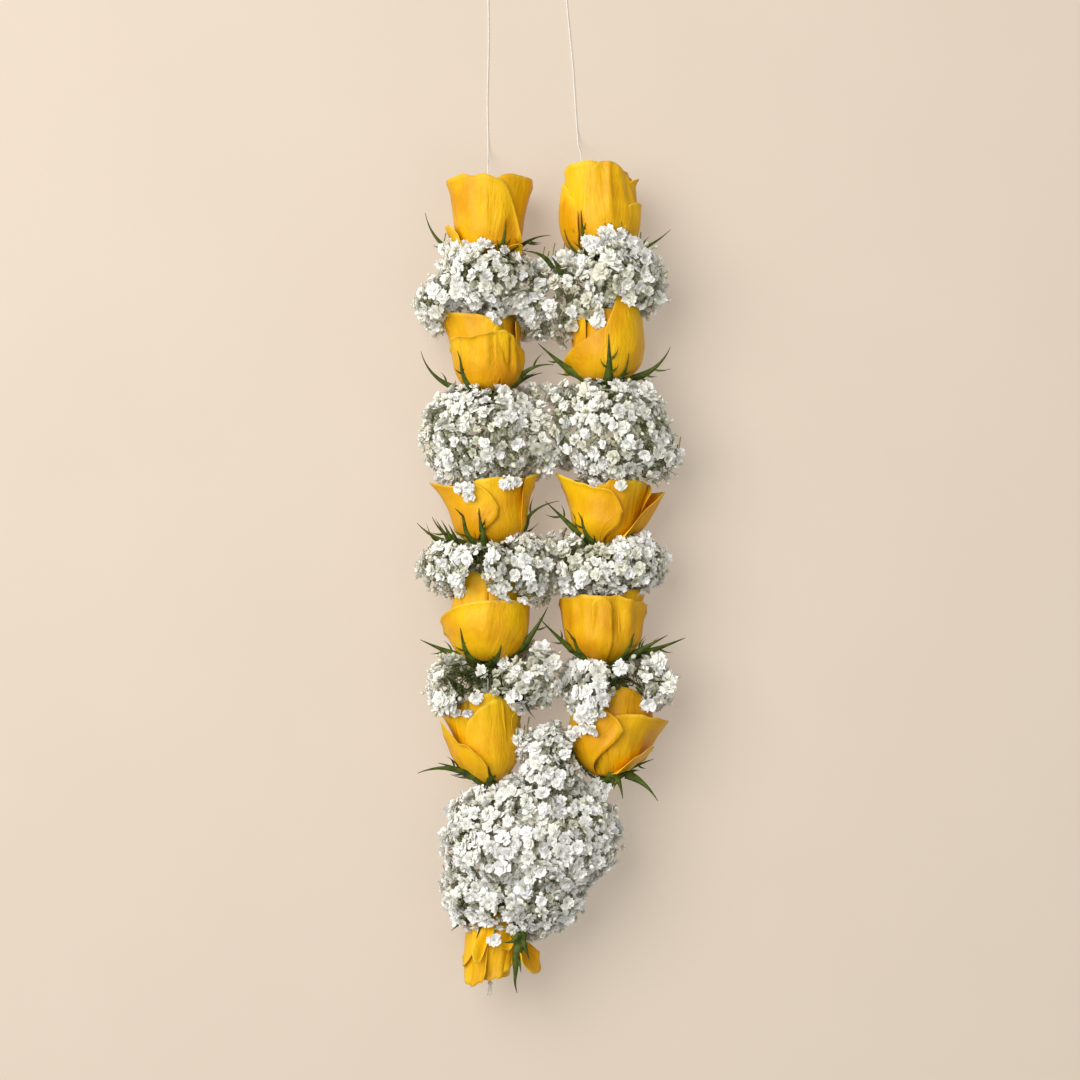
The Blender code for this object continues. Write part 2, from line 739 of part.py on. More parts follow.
def bundle_mesh(name, radius, flute):
    """A straight bundle of stems between its two ends."""
    start, end = stem_bundle(name)
    axis = end - start

    def build(bm):
        turn = axis.to_track_quat("Z", "Y").to_matrix().to_4x4()
        place = Matrix.Translation((start + end) / 2) @ turn
        made = bmesh.ops.create_cone(
            bm, cap_ends=True, segments=STEM_BUNDLE_SIDES, radius1=radius, radius2=radius,
            depth=axis.length,
        )["verts"]
        for vertex in made:
            sector = round(math.atan2(vertex.co.y, vertex.co.x) / math.tau * STEM_BUNDLE_SIDES)
            if sector % 2:
                vertex.co.x *= flute
                vertex.co.y *= flute
            vertex.co = place @ vertex.co
    return mesh_from(build)


def make_bunch(name, cutters, bores):
    """One bunch of florets and the bundle of stems at its middle."""
    stems = add_piece(f"stems_{name}", bundle_mesh(name, STEM_BUNDLE_RADIUS, STEM_BUNDLE_FLUTE), "sepal")
    bunch = add_piece(f"bunch_{name}", bunch_mesh(name), "floret")
    near = [
        add_helper(mesh.copy(), matrix)
        for mesh, matrix in cutters
        if meets(mesh, matrix, bunch.data)
    ]
    near += [add_helper(mesh) for mesh in neighbour_boxes(name)]
    near += [add_helper(mesh.copy()) for mesh in bores]
    near.append(add_helper(bundle_mesh(name, STEM_BUNDLE_RADIUS + 2 * GAP, 1.0)))
    combine(bunch, near, "DIFFERENCE")
    combine(stems, [add_helper(bores[0].copy())], "DIFFERENCE")
    shade(stems)


def tube_curve(points, radius, resolution):
    """A round tube with filled ends along the points."""
    curve = bpy.data.curves.new("tube", "CURVE")
    curve.dimensions = "3D"
    curve.bevel_depth = radius
    curve.bevel_resolution = resolution
    curve.use_fill_caps = True
    spline = curve.splines.new("POLY")
    spline.points.add(len(points) - 1)
    for point, place in zip(spline.points, points):
        point.co = (*place, 1)
    return curve


def tube_mesh(points, radius, resolution):
    guide = add_helper(tube_curve(points, radius, resolution))
    mesh = evaluated_mesh(guide)
    bpy.data.objects.remove(guide)
    return mesh


def strand_route(plan):
    return [Vector((x * MM, y * MM, STRAND_HEIGHT)) for x, y in plan]


def beyond(points, distance):
    """The points with both ends moved outwards."""
    first = points[0] + (points[0] - points[1]).normalized() * distance
    last = points[-1] + (points[-1] - points[-2]).normalized() * distance
    return [first] + points[1:-1] + [last]


def smooth_route(points, count):
    """Evenly spread points on a smooth curve through the route's own points."""
    ends = [points[0] * 2 - points[1]] + points + [points[-1] * 2 - points[-2]]
    fine = []
    for a, b, c, d in zip(ends, ends[1:], ends[2:], ends[3:]):
        for step in range(16):
            t = step / 16
            fine.append((
                b * 2 + (c - a) * t + (a * 2 - b * 5 + c * 4 - d) * t**2
                + (b * 3 - a - c * 3 + d) * t**3
            ) / 2)
    return spread(fine + [points[-1]], [index / (count - 1) for index in range(count)])


def knot_mesh(place):
    """A small round knot."""
    def build(bm):
        bmesh.ops.create_uvsphere(
            bm, u_segments=7, v_segments=5, radius=KNOT_RADIUS, matrix=Matrix.Translation(place)
        )
    return mesh_from(build)


def make_tail(side, plan):
    """A loose thread end and the knot at its far end."""
    route = smooth_route([Vector(point) * MM for point in plan], TAIL_POINTS)
    add_piece(f"tail_{side}", tube_curve(route, THREAD_RADIUS, TUBE_ROUNDNESS), "thread")
    ahead = (route[-1] - route[-2]).normalized()
    place = route[-1] + ahead * (KNOT_RADIUS + GAP)
    place.z = KNOT_RADIUS + KNOT_CLEARANCE
    knot = add_piece(f"tail_knot_{side}", knot_mesh(place), "thread")
    shade(knot)


def make_tip_knot():
    """The knot that stops the left thread in the last rose's mouth, with its short end."""
    middle = Vector((TIP_KNOT[0] * MM, TIP_KNOT[1] * MM, STRAND_HEIGHT))
    knot = add_piece("tip_knot", knot_mesh(middle), "thread")
    end = [Vector(point) * MM for point in TIP_THREAD_END]
    combine(knot, [add_helper(tube_mesh(smooth_route(end, 5), THREAD_RADIUS, TUBE_ROUNDNESS))], "UNION")
    shade(knot)


def main():
    clear_scene()
    left, right = strand_route(LEFT_THREAD), strand_route(RIGHT_THREAD)
    add_piece("thread_left", tube_curve(left, THREAD_RADIUS, TUBE_ROUNDNESS), "thread")
    add_piece("thread_right", tube_curve(right, THREAD_RADIUS, TUBE_ROUNDNESS), "thread")
    bores = [
        tube_mesh(beyond(left, LEFT_BORE_OVERRUN), BORE_RADIUS, TUBE_ROUNDNESS),
        tube_mesh(beyond(right, RIGHT_BORE_OVERRUN), BORE_RADIUS, TUBE_ROUNDNESS),
    ]
    cutters = []
    for name in ROSES:
        bore = bores[name.startswith("right")]
        rose = make_rose(name, bore)
        cutters += make_calyx(name, rose, bore)
    for name in BUNCHES:
        own = bores if name == "pendant" else [bores[name.startswith("right")]]
        make_bunch(name, cutters, own)
    make_tail("left", LEFT_TAIL)
    make_tail("right", RIGHT_TAIL)
    make_tip_knot()


main()
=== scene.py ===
"""Looks of the rose and baby's breath garland, lying face up on a pale surface.

Every rose, calyx, bunch and thread of the frame gets a finer piece of the same form. In a
rose's own frame X points up from the surface, Y across the garland and Z from its base to its
mouth. An azimuth of 0 faces the camera and 90 faces along Y.
"""

import math
import random

import bpy
import numpy as np
from mathutils import Matrix, Vector
from mathutils.bvhtree import BVHTree


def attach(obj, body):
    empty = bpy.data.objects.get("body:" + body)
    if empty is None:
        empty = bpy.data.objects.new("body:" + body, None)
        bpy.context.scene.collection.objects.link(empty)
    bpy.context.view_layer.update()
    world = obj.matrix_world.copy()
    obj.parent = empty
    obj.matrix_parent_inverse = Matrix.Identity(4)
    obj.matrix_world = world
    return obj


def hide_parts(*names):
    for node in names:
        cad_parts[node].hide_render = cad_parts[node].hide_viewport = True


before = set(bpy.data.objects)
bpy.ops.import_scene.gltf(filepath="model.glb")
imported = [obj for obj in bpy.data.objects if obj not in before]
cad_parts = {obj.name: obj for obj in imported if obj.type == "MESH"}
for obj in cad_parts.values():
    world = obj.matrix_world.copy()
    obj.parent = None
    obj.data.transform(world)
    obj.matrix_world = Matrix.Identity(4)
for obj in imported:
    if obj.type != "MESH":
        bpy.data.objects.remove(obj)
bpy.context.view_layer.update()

MM = 0.001
SEED = 7
UP = Vector((0, 0, 1))
STRAND_HEIGHT = 34 * MM
# Nothing lies lower above the surface.
LOWEST = 0.1 * MM

# The photograph's frame is 1080 pixels wide, and shows 0.6 mm to a pixel at strand height.
# This pixel lies over the origin.
PIXEL = 0.6 * MM
ORIGIN_PIXEL = (546, 577)
CAMERA_PLACE = (-0.0036, 0.0222, 1.564)
MIDDLE_PIXEL = (ORIGIN_PIXEL[0] + CAMERA_PLACE[0] / PIXEL, ORIGIN_PIXEL[1] - CAMERA_PLACE[1] / PIXEL)

# Each rose, in millimetres: base x, base y, mouth x, mouth y.
ROSES = {
    "left_1": (-34.2, 189.0, -33.6, 240.6),
    "left_2": (-33.6, 111.0, -36.0, 160.0),
    "left_3": (-32.4, 19.0, -35.4, 61.0),
    "left_4": (-35.4, -51.0, -33.6, 3.0),
    "left_5": (-32.8, -124.0, -38.4, -71.0),
    "right_1": (32.4, 191.4, 32.4, 248.0),
    "right_2": (36.0, 117.0, 34.8, 165.0),
    "right_3": (34.8, 16.8, 38.0, 61.0),
    "right_4": (34.8, -53.4, 34.2, -9.0),
    "right_5": (35.4, -120.0, 40.4, -68.5),
    "tip": (-30.0, -198.0, -33.6, -243.0),
}
# The cup that the petals of each rose lie on: its radius in millimetres low down, at its
# belly and at its mouth.
CUPS = {
    "left_1": (16.5, 21.5, 21.5),
    "right_1": (19.5, 24.0, 18.0),
    "left_2": (17.0, 21.0, 20.0),
    "right_2": (18.0, 22.0, 20.0),
    "left_3": (18.0, 22.5, 22.5),
    "right_3": (11.5, 20.0, 21.0),
    "left_4": (18.5, 24.0, 19.0),
    "right_4": (13.5, 22.5, 23.5),
    "left_5": (12.5, 19.0, 17.5),
    "right_5": (15.0, 21.5, 21.0),
    "tip": (12.5, 17.0, 14.5),
}
# The outer petals of each rose, outermost last: azimuth and half-width in degrees, then at
# even places across the petal the height of its rim and the rim's distance from the axis, both
# in millimetres, and the rim's roll in degrees, and last any habits of its own. One number in
# place of several is the same all across.
PETALS = {
    "left_1": (
        (168, 85, (46, 48, 47, 48, 45), (22, 24, 25, 24, 22), (30, 60, 30)),
        (78, 72, (48, 50.5, 50.5, 48, 43, 40, 38), (20.5, 21.5, 24, 25.6, 25, 22, 21), (10, 40, 60)),
        (-25, 85, (40, 46, 49.5, 49.5, 49, 41, 12), (22, 25.4, 25.4, 22.5, 22, 22.5, 22),
         (30, 60, 10, 10, 50), {"crease": 0.5, "ridge": (-0.22, -1.0, 0.03), "full": 0.8}),
        (-78, 34, (12, 19, 20.5, 19, 12), (23.6, 25.2, 25.8, 25.2, 23.6), 0, {"power": 0.6, "bend": 0.1}),
        (47, 19, (4, 8, 9.5, 8, 4), (20, 21.5, 23.5, 23.5, 21), (20, 60, 40)),
    ),
    "right_1": (
        (165, 80, (48, 50, 52, 50, 48), 18, (20, 30, 20)),
        (70, 28, (38, 46, 49, 47, 41), (15, 17.6, 20.6, 21, 18), (60, 150, 60), {"wave": 0.8, "ragged": 0.7}),
        (-45, 55, (46, 51.5, 55, 55.6, 53), (20.8, 22, 21.6, 20, 18), (30, 50, 20), {"crease": 0.6}),
        (24, 52, (50, 55, 54.5, 49, 41), (19, 19.5, 19.8, 19.6, 18.6), (30, 60, 30),
         {"crease": 1.0, "ridge": (-0.2, 1.3, 0.08)}),
        (70, 42, (22, 29, 31.5, 31, 28, 22), (20.5, 22, 23.2, 24, 23, 22), (20, 70, 20),
         {"wave": 0.9, "ragged": 0.8}),
        (-80, 46, (36, 43, 44, 39, 29), (21, 22, 22.6, 21.6, 21), (0, 20, 20), {"full": 0.5}),
    ),
    "left_2": (
        (172, 70, (46, 47, 47, 47, 46), (21, 22, 23, 22, 21), (20, 30, 20)),
        (112, 56, (42, 40, 34, 36, 38), 20, (10, 20, 10)),
        (-72, 88, (44, 46, 48.5, 49.5, 48, 46.5, 45, 43), (21, 24, 28, 29.4, 24, 21.4, 20.4, 20), (30, 60, 20)),
        (-28, 66, (30, 34.5, 34, 35.5, 36), (21, 21.6, 21.6, 21.2, 21), (70, 120, 130, 120, 60),
         {"crease": 1.0, "ridge": (0.42, 1.2, 0.08)}),
        (66, 55, (41, 34, 25, 18, 14), (20.6, 21.2, 21.4, 21.2, 20), (20, 30, 20), {"crease": 1.0}),
    ),
    "right_2": (
        (175, 75, (36, 44, 46, 44, 40), 20, 20),
        (-92, 54, (30, 35, 38, 39, 39), (17.5, 17, 17, 17.4, 18), (10, 20, 20), {"bend": 0.0, "power": 0.8}),
        (114, 58, (42, 43, 42, 40, 40), (20.5, 21, 21, 20.5, 20), (10, 20, 20)),
        (-44, 58, (6, 14, 22, 29, 34), (25, 25.6, 23.6, 21.6, 20), (30, 40, 0), {"crease": 0.4}),
        (47, 50, (31, 39, 50.5, 48, 45, 43, 41, 38, 33), (23, 22.6, 21.4, 21.4, 21.8, 22.2, 22.4, 22.4, 22),
         (0, 10, 20), {"crease": 0.5, "foot": (0.95, 0.5)}),
    ),
    "left_3": (
        (168, 80, (38, 39, 40, 39, 38), (28, 28, 26, 26, 28), (30, 40, 30)),
        (24, 52, (38, 40, 40, 39, 38), (21, 22, 22.5, 24, 25), (10, 20, 20)),
        (104, 50, (39, 41, 40.5, 39, 38), (26, 30, 31, 29, 27), (20, 50, 40)),
        (-56, 70, (34, 38.5, 40, 38, 37, 36, 26), (27, 33.5, 34.6, 28.5, 25.5, 24, 22.4),
         (20, 40, 80, 90, 70), {"foot": (0.8, 0.4), "full": 0.85, "crease": 0.4}),
    ),
    "right_3": (
        (165, 80, (40, 41, 42, 41, 40), (25, 26, 26, 26, 27), (30, 40, 30)),
        (45, 55, (41, 42, 42, 42, 40), (19, 20, 20.5, 21.5, 22), 10),
        (84, 56, (8, 17, 27, 36, 37, 35, 33), (20, 22, 27, 33.4, 34, 29, 24), (80, 60, 30, 20, 10),
         {"power": 1.0, "bend": 0.1}),
        (-42, 64, (41, 43, 41, 39, 37.5, 36, 27), (29, 31.6, 27.5, 24.8, 23.4, 22.8, 21.6),
         (20, 50, 100, 110, 90), {"crease": 0.3, "foot": (0.72, 0.5), "full": 0.7}),
    ),
    "left_4": (
        (170, 80, (42, 44, 48, 44, 42), 20, 20),
        (30, 60, (50, 52, 52, 51, 50), (16.5, 17, 17.5, 18, 18), 10),
        (-60, 60, (42, 46, 52, 54, 50), (19, 19.4, 19, 17.8, 17), (10, 20, 10)),
        (86, 54, (34, 41, 42, 41, 40), (22, 24.6, 25.6, 24, 22), (20, 40, 20)),
        (-12, 92, (18, 27, 34, 37.5, 38, 37, 30), (27, 28, 26.6, 25.2, 24.6, 24, 22.6),
         (60, 100, 80, 50, 30), {"crease": 0.5, "ridge": (0.12, 1.2, 0.04)}),
    ),
    "right_4": (
        (170, 85, (38, 40, 42, 40, 38), 23, 20),
        (72, 50, (45, 46, 46, 44, 42), (21, 22.6, 24.8, 24, 22), (10, 30, 20)),
        (38, 56, (42, 42.5, 41, 37.5, 36), (23, 23.8, 24.8, 25.2, 24.8), (20, 70, 70),
         {"crease": 1.2, "foot": (0.95, 0.72), "ragged": 0.8}),
        (-42, 54, (42.5, 42, 43, 43.4, 41), (25.4, 24.8, 24, 23.8, 23.4), (60, 50, 40),
         {"crease": 1.1, "foot": (0.72, 0.95), "ragged": 0.5}),
    ),
    "left_5": (
        (172, 80, (44, 46, 48, 46, 44), (21, 20, 19, 19, 20), 20),
        (-80, 62, (42, 45, 47, 48.5, 49, 49), (23, 26, 26.6, 22, 18.5, 17), 0),
        (96, 40, (38, 45, 47.5, 43, 36), (18.5, 21, 22.4, 21, 19), (20, 60, 20)),
        (-10, 52, (42, 51, 54.5, 55.5, 53), (19, 18.8, 18.6, 18.4, 18), (10, 30, 10), {"wave": 0.8}),
        (27, 63, (37, 46, 50, 51, 47, 38), (20.4, 19.6, 19, 18.8, 19.4, 20), (10, 20, 50),
         {"crease": 0.4, "foot": (0.95, 0.72)}),
        (-48, 46, (36, 43.5, 30, 26, 14), (25, 27.8, 23.4, 22.4, 20.6), (20, 50, 90, 110, 90),
         {"foot": (0.3, 0.95), "full": 0.9, "bend": 0.1}),
    ),
    "right_5": (
        (175, 80, (44, 46, 48, 46, 44), 20, 20),
        (-92, 50, (36, 40, 42, 42, 40), (21, 21.5, 22, 21.5, 21), 20),
        (40, 60, (52, 56, 54, 46, 38), (18, 19, 20.4, 23, 25), (10, 20, 20)),
        (56, 58, (38, 40, 40, 38.5, 36, 24), (21, 23, 27, 31.5, 34, 28), 10,
         {"crease": 0.4, "bend": 0.5, "power": 1.4, "ragged": 0.5}),
        (66, 52, (6, 12, 18, 21, 20.5, 12), (22, 23.4, 25, 27, 27.4, 25), 20,
         {"crease": 0.5, "wave": 0.8, "ragged": 0.8}),
        (-46, 62, (28, 38, 43, 42, 36), (24.4, 24.4, 24, 23.8, 23.6), (10, 20, 110),
         {"foot": (0.9, 0.2), "full": 1.0}),
    ),
    "tip": (
        (175, 80, (36, 40, 38, 30, 22), (17, 18, 17, 15, 13), 30, {"wave": 0.9}),
        (-57, 22, (27, 33.5, 35, 33, 27), (29, 32, 33.4, 32, 29), (0, 40, 0), {"wave": 0.5}),
        (-62, 42, (22, 28, 31, 35, 37), (14.5, 14.8, 15, 15, 15), (30, 60, 40), {"wave": 0.9, "ragged": 0.8}),
        (-10, 46, (34, 38, 41, 43, 43), 15, (60, 50, 30),
         {"wave": 1.1, "crease": 1.4, "ragged": 0.9}),
        (52, 42, (42, 45.5, 47, 43, 37), (15, 15.4, 15.8, 16.4, 16.6), (20, 40, 40),
         {"wave": 1.1, "crease": 1.2, "ragged": 0.8}),
        (74, 38, (24, 33, 36.5, 34, 26), (16, 16.4, 17, 16.8, 16), (20, 50, 40), {"wave": 1.2, "ragged": 0.8}),
        (22, 25, (9, 20, 31, 22, 9), (17, 18.2, 18.6, 18.2, 17), 60,
         {"wave": 1.2, "crease": 1.8, "ragged": 0.9, "ridge": (0.1, 1.5, 0.3)}),
        (-22, 26, (13, 22, 25, 23, 15), (17, 18, 18.6, 18, 17), (60, 130, 60),
         {"wave": 1.3, "crease": 1.6, "ragged": 1.0}),
    ),
}
# The habits of a petal that names none of its own: how uneven its rim is, in millimetres, how
# wide its foot is on the left and on the right and how far up it is full, as shares, where its
# flare starts and how it grows, how wavy and creased it is, and a ridge's place, height and width.
PETAL_HABIT = {
    "ragged": 0.3, "foot": (0.72, 0.72), "full": 0.55, "bend": 0.3, "power": 1.7, "wave": 0.45,
    "crease": 0.45, "ridge": (0, 0, 1),
}
OPEN_ROSES = ("left_1", "right_1", "tip")
PETAL_FOOT_RADIUS = 3.6 * MM
PETAL_LAYER = 0.75 * MM
PETAL_THICKNESS = 0.36 * MM
PETAL_FLOOR = 0.6 * MM
PETAL_ROLL_RADIUS = 1.25 * MM
# Where a petal's rim falls away at its sides, and how far up it starts to curl, as shares.
PETAL_SHOULDER = 0.78
CURL_START = 0.86
# Points across and up an outer petal and an inner one.
OUTER_GRID = (31, 27)
INNER_GRID = (13, 11)

# The sepals of each rose: azimuth, length in millimetres, lean from the rose's axis and curl of
# the free part in degrees, and width in millimetres. One that leans 0 lies on the petals. A
# rose with four here also has the one at its back.
SEPALS = {
    "left_1": ((-90, 50, 76, -66, 5), (28, 36, 0, 0, 5.6), (50, 27, 0, 0, 5.6), (92, 40, 30, 60, 4.6)),
    "left_2": ((-84, 50, 85, -75, 5), (-50, 36, 28, -10, 6), (80, 42, 28, 74, 5.4), (110, 34, 52, 30, 4.6)),
    "left_3": ((-88, 46, 88, -50, 6), (-66, 42, 82, -60, 6), (-40, 40, 14, 46, 6), (-14, 36, 0, 0, 6.6),
               (84, 50, 15, 74, 4.6)),
    "left_4": ((-84, 40, 72, -6, 6.6), (-38, 32, 12, 24, 7.2), (22, 24, 0, 0, 7.2), (70, 52, 48, -24, 7.8)),
    "left_5": ((-80, 46, 55, 52, 6), (-56, 38, 52, 20, 6.6), (0, 20, 0, 0, 6.4), (120, 22, 0, 0, 5)),
    "right_1": ((-30, 38, 0, 0, 5.4), (-62, 30, 0, 0, 5.2), (40, 22, 0, 0, 5), (88, 44, 76, -30, 4.6)),
    "right_2": ((-82, 46, 54, -8, 7), (4, 40, 0, 0, 6.4), (36, 28, 0, 0, 5), (84, 44, 84, -60, 6)),
    "right_3": ((-72, 46, 52, 0, 6), (-44, 32, 34, 10, 5.4), (60, 22, 0, 0, 5), (130, 22, 0, 0, 5),
                (200, 22, 0, 0, 5)),
    "right_4": ((-68, 50, 52, -8, 6), (-48, 38, 40, 6, 5.8), (46, 32, 34, 8, 7), (72, 42, 62, 0, 6.6),
                (92, 50, 76, -8, 7)),
    "right_5": ((-70, 24, 0, 0, 5), (20, 34, 100, 50, 7), (58, 40, 96, 44, 7), (120, 34, 70, 0, 5),
                (200, 22, 0, 0, 5)),
    "tip": ((-52, 24, 0, 0, 5), (-84, 32, 30, 0, 5), (30, 26, 0, 0, 5), (120, 26, 40, 0, 5),
            (200, 22, 0, 0, 5)),
}
BACK_SEPAL = (190, 22, 0, 0, 5)
SEPAL_THICKNESS = 0.5 * MM
SEPAL_CLEARANCE = 0.7 * MM
SEPAL_HUG = 11 * MM
SEPAL_POINTS = 25
# The narrow teeth along a sepal: their width, length in millimetres on a sepal 34 mm long, and
# which of the sepal's points they may stand at. A long sepal has one more.
LOBE_WIDTH = 1.3 * MM
LOBE_LENGTH = (4, 8)
LOBE_PLACES = range(7, 18)
LONG_SEPAL = 28
# How far from a rose's axis the rays start that look for its petals, in millimetres.
RAY_START = 60
SEPAL_PROFILE = (0.7, 0.95, 1.0, 0.92, 0.78, 0.62, 0.46, 0.33, 0.22, 0.13, 0.05)
HIP_PROFILE = ((0.0, 0.3), (5.2, 0.2), (6.4, -1.4), (6.2, -3.4), (5.0, -5.6), (3.6, -7.4), (0.0, -7.6))
HIP_SIDES = 18

# The swells of each bunch: x, y, height of the middle, half-width, half-length, half-depth.
BUNCHES = {
    "left_1": ((-35.4, 177, 34, 31, 26, 36), (-63.6, 163, 34, 17, 19, 22), (-5.0, 166, 28, 21, 25, 24)),
    "left_2": ((-36.6, 85, 34, 40, 33, 37), (-4.0, 88, 29, 18, 28, 26)),
    "left_3": ((-39.6, 6, 34, 37, 22, 36), (-12.6, 4, 36, 24, 23, 31)),
    "left_4": ((-34.8, -62, 33, 28, 19, 34), (-57.6, -66, 34, 16, 22, 28), (-10.0, -60, 36, 25, 22, 30)),
    "right_1": ((43.2, 180, 34, 29, 28, 36), (60.0, 172, 34, 14, 18, 24), (13.4, 165, 29, 20, 27, 25)),
    "right_2": ((39.6, 88, 34, 35, 35, 37), (64.4, 73, 33, 16, 21, 22), (8.4, 91, 31, 18, 26, 28)),
    "right_3": ((38.4, 7, 34, 35, 21, 36), (14.4, 6, 33, 18, 20, 28)),
    "right_4": ((38.0, -62, 33, 28, 19, 34), (27.0, -68, 37, 20, 22, 30), (63.0, -63, 34, 16, 18, 22)),
    "pendant": ((-8.0, -155, 35, 54, 38, 41), (4.2, -112, 40, 20, 26, 26), (-15.0, -192, 34, 38, 25, 32),
                (-44.0, -187, 33, 17, 20, 25)),
}
SWELL_BLEND = 12
# The share of the florets left out of each hollow, and how far apart and how large the florets
# are as shares of what they otherwise are.
HOLLOWS = {"pendant": 0.15, "left_1": 0.3, "right_1": 0.3, "right_2": 0.6}
FLORET_SIZES = {
    "left_2": (0.88, 0.9), "right_2": (0.88, 0.9), "left_3": (0.95, 0.97), "right_3": (0.95, 0.97),
    "pendant": (0.9, 1.02),
}
# The range of the petals' tones, from 0 for warm and deep to 1 for lemon yellow.
PETAL_TONES = {
    "right_1": (0.7, 1), "right_3": (0.7, 1), "left_5": (0.7, 1), "left_2": (0, 0.5), "right_4": (0, 0.3),
}
# The least tone of the florets on the outside of a bunch. Partly the florets' own whiter or creamier colour,
# partly painted light: lower for bunches that are meant to lie in shade, higher on the pendant, where the light
# falls.
FLORET_TONES_AND_PAINTED_LIGHT = {"pendant": 0.56, "left_1": 0.34, "right_1": 0.26, "right_2": 0.26, "right_3": 0.34}
# How far the florets of a bunch stay inside its outer and its inner side, in millimetres.
SIDE_TRIM = {
    "right_1": (3.8, 0.0), "right_2": (2.4, 1.2), "left_1": (1.2, 0.0), "left_4": (3.4, 3.4),
    "right_4": (2.0, 2.0),
}
# How far the deep florets of a bunch lie above where they otherwise do, in millimetres.
DEEP_LIFT = {"pendant": 0.8}
MEETING_X = {"1": 3.6 * MM, "2": 1.2 * MM, "3": 3.6 * MM, "4": 7.0 * MM}
MEETING_Y = -87.0 * MM
HANGING_SPACING = 6.0
FLORET_RADIUS = 4.8 * MM
FLORET_SPACING = 6.5 * MM
DEEP_FLORET_SPACING = 7.0 * MM
# How high florets lie from their bunch's surface in millimetres: the deep ones, most of the
# outer ones, and the share of them that stands out.
DEEP_RISE = (-9.6, -6.8)
FLORET_RISE = (-4.9, -2.2)
PROUD_RISE = (-1.5, 1.0)
PROUD_SHARE = 0.07
LUMP_FINENESS = 160
LOWEST_FLORET = 2.5 * MM
LOWEST_BUD = 3 * MM
# How far the middle of a floret and of a bud stays from a bloom.
FLORET_MARGIN = 1.2 * MM
BUD_MARGIN = 1.5 * MM
# No part of a bloom lies further from its axis, below its base or past its mouth.
BLOOM_RADIUS = 48 * MM
BLOOM_BELOW = 7 * MM
BLOOM_PAST = 8 * MM
HIP_RADIUS = 7 * MM
FLORET_OPENNESS = (0.5, 0.62, 0.7, 0.78, 0.84, 0.9, 0.95, 1.0, 1.04, 1.08)
# The whorls of a floret: petals, their angle from its axis in degrees, length and width. Then
# how far up each row of a petal's points lies and how wide it is. Hidden florets are plainer.
FLORET_WHORLS = ((6, 88, 1.0, 0.78), (6, 62, 0.96, 0.7), (5, 36, 0.86, 0.62), (3, 13, 0.7, 0.5))
FLORET_ROWS = ((0.42, 0.6), (0.78, 1.0), (1.0, 0.8))
PLAIN_WHORLS = ((6, 80, 1.0, 0.8), (5, 45, 0.92, 0.7), (3, 16, 0.8, 0.6))
PLAIN_ROWS = ((0.6, 0.85), (1.0, 0.85))
BUD_RADIUS = 1.25 * MM
BUD_PROFILE = ((0.0, -1.2), (0.55, -1.0), (0.95, -0.3), (0.9, 0.35), (0.5, 0.9), (0.0, 1.15))
BUD_SIDES = 7
STEM_RADIUS = 0.34 * MM
BUD_STEM_RADIUS = 0.25 * MM
# How deep in a bunch its dark heart of stems and painted shade starts, and in one of the small bunches of level
# 4.
HEART_DEPTH = 6.0 * MM
THIN_HEART_DEPTH = 2.0 * MM
# How near in millimetres a rose's base is to the middle of a bunch whose florets could meet it.
NEAR_ROSES = 110
# Outlines, in the photograph's pixels, of what it shows of each rose. No floret hangs there.
SHOWN_ROSES = (
    ((447, 178), (460, 172), (534, 172), (534, 192), (527, 240), (522, 262), (511, 254), (496, 245),
     (487, 244), (470, 247), (458, 238), (441, 239), (442, 220)),
    ((556, 255), (556, 200), (560, 165), (575, 158), (612, 158), (640, 176), (642, 236), (622, 229),
     (604, 226), (588, 235), (581, 247), (575, 255)),
    ((443, 306), (458, 303), (473, 311), (500, 318), (512, 326), (526, 341), (527, 360), (524, 388),
     (452, 388), (452, 345), (444, 325)),
    ((566, 342), (580, 324), (601, 325), (611, 306), (621, 292), (634, 300), (645, 308), (644, 378),
     (566, 378), (560, 362)),
    ((428, 477), (452, 484), (487, 481), (508, 483), (541, 477), (541, 500), (532, 531), (513, 536),
     (496, 532), (470, 536), (455, 531), (446, 505)),
    ((554, 476), (575, 480), (601, 486), (621, 487), (642, 475), (668, 486), (650, 524), (641, 536),
     (624, 538), (606, 548), (590, 546), (576, 523)),
    ((439, 622), (460, 592), (468, 571), (484, 571), (484, 592), (511, 607), (532, 600), (530, 625),
     (518, 655), (481, 661), (449, 648)),
    ((559, 592), (575, 594), (604, 594), (630, 596), (648, 588), (648, 628), (642, 647), (621, 664),
     (606, 664), (586, 656), (566, 634)),
    ((438, 718), (458, 708), (470, 700), (484, 689), (496, 694), (508, 712), (520, 706), (524, 727),
     (520, 750), (515, 768), (508, 781), (487, 785), (464, 758)),
    ((566, 745), (572, 738), (600, 735), (603, 715), (615, 690), (630, 690), (652, 711), (668, 720),
     (645, 737), (655, 743), (633, 770), (615, 769), (598, 777), (578, 768)),
    ((462, 928), (470, 930), (484, 920), (496, 924), (511, 934), (518, 944), (532, 940), (546, 952),
     (546, 962), (538, 970), (515, 976), (478, 986), (466, 976), (462, 950)),
    ((508, 664), (518, 644), (530, 626), (543, 607), (548, 612), (538, 636), (524, 660)),
)
# Where the photograph shows few florets and dark green stems: middle and half-size in pixels,
# and the share of the florets that stay.
THIN_PLACES = (
    (470, 676, 24, 17, 0.12), (622, 674, 22, 18, 0.15), (440, 532, 22, 14, 0.5), (532, 712, 16, 12, 0.2),
    (480, 561, 8, 9, 0.1), (640, 690, 18, 26, 0.6),
)
# The most florets that a place with dark stems keeps, and how far it is from its bunch's middle.
TANGLE_SHARE = 0.4
TANGLE_REACH = 26 * MM

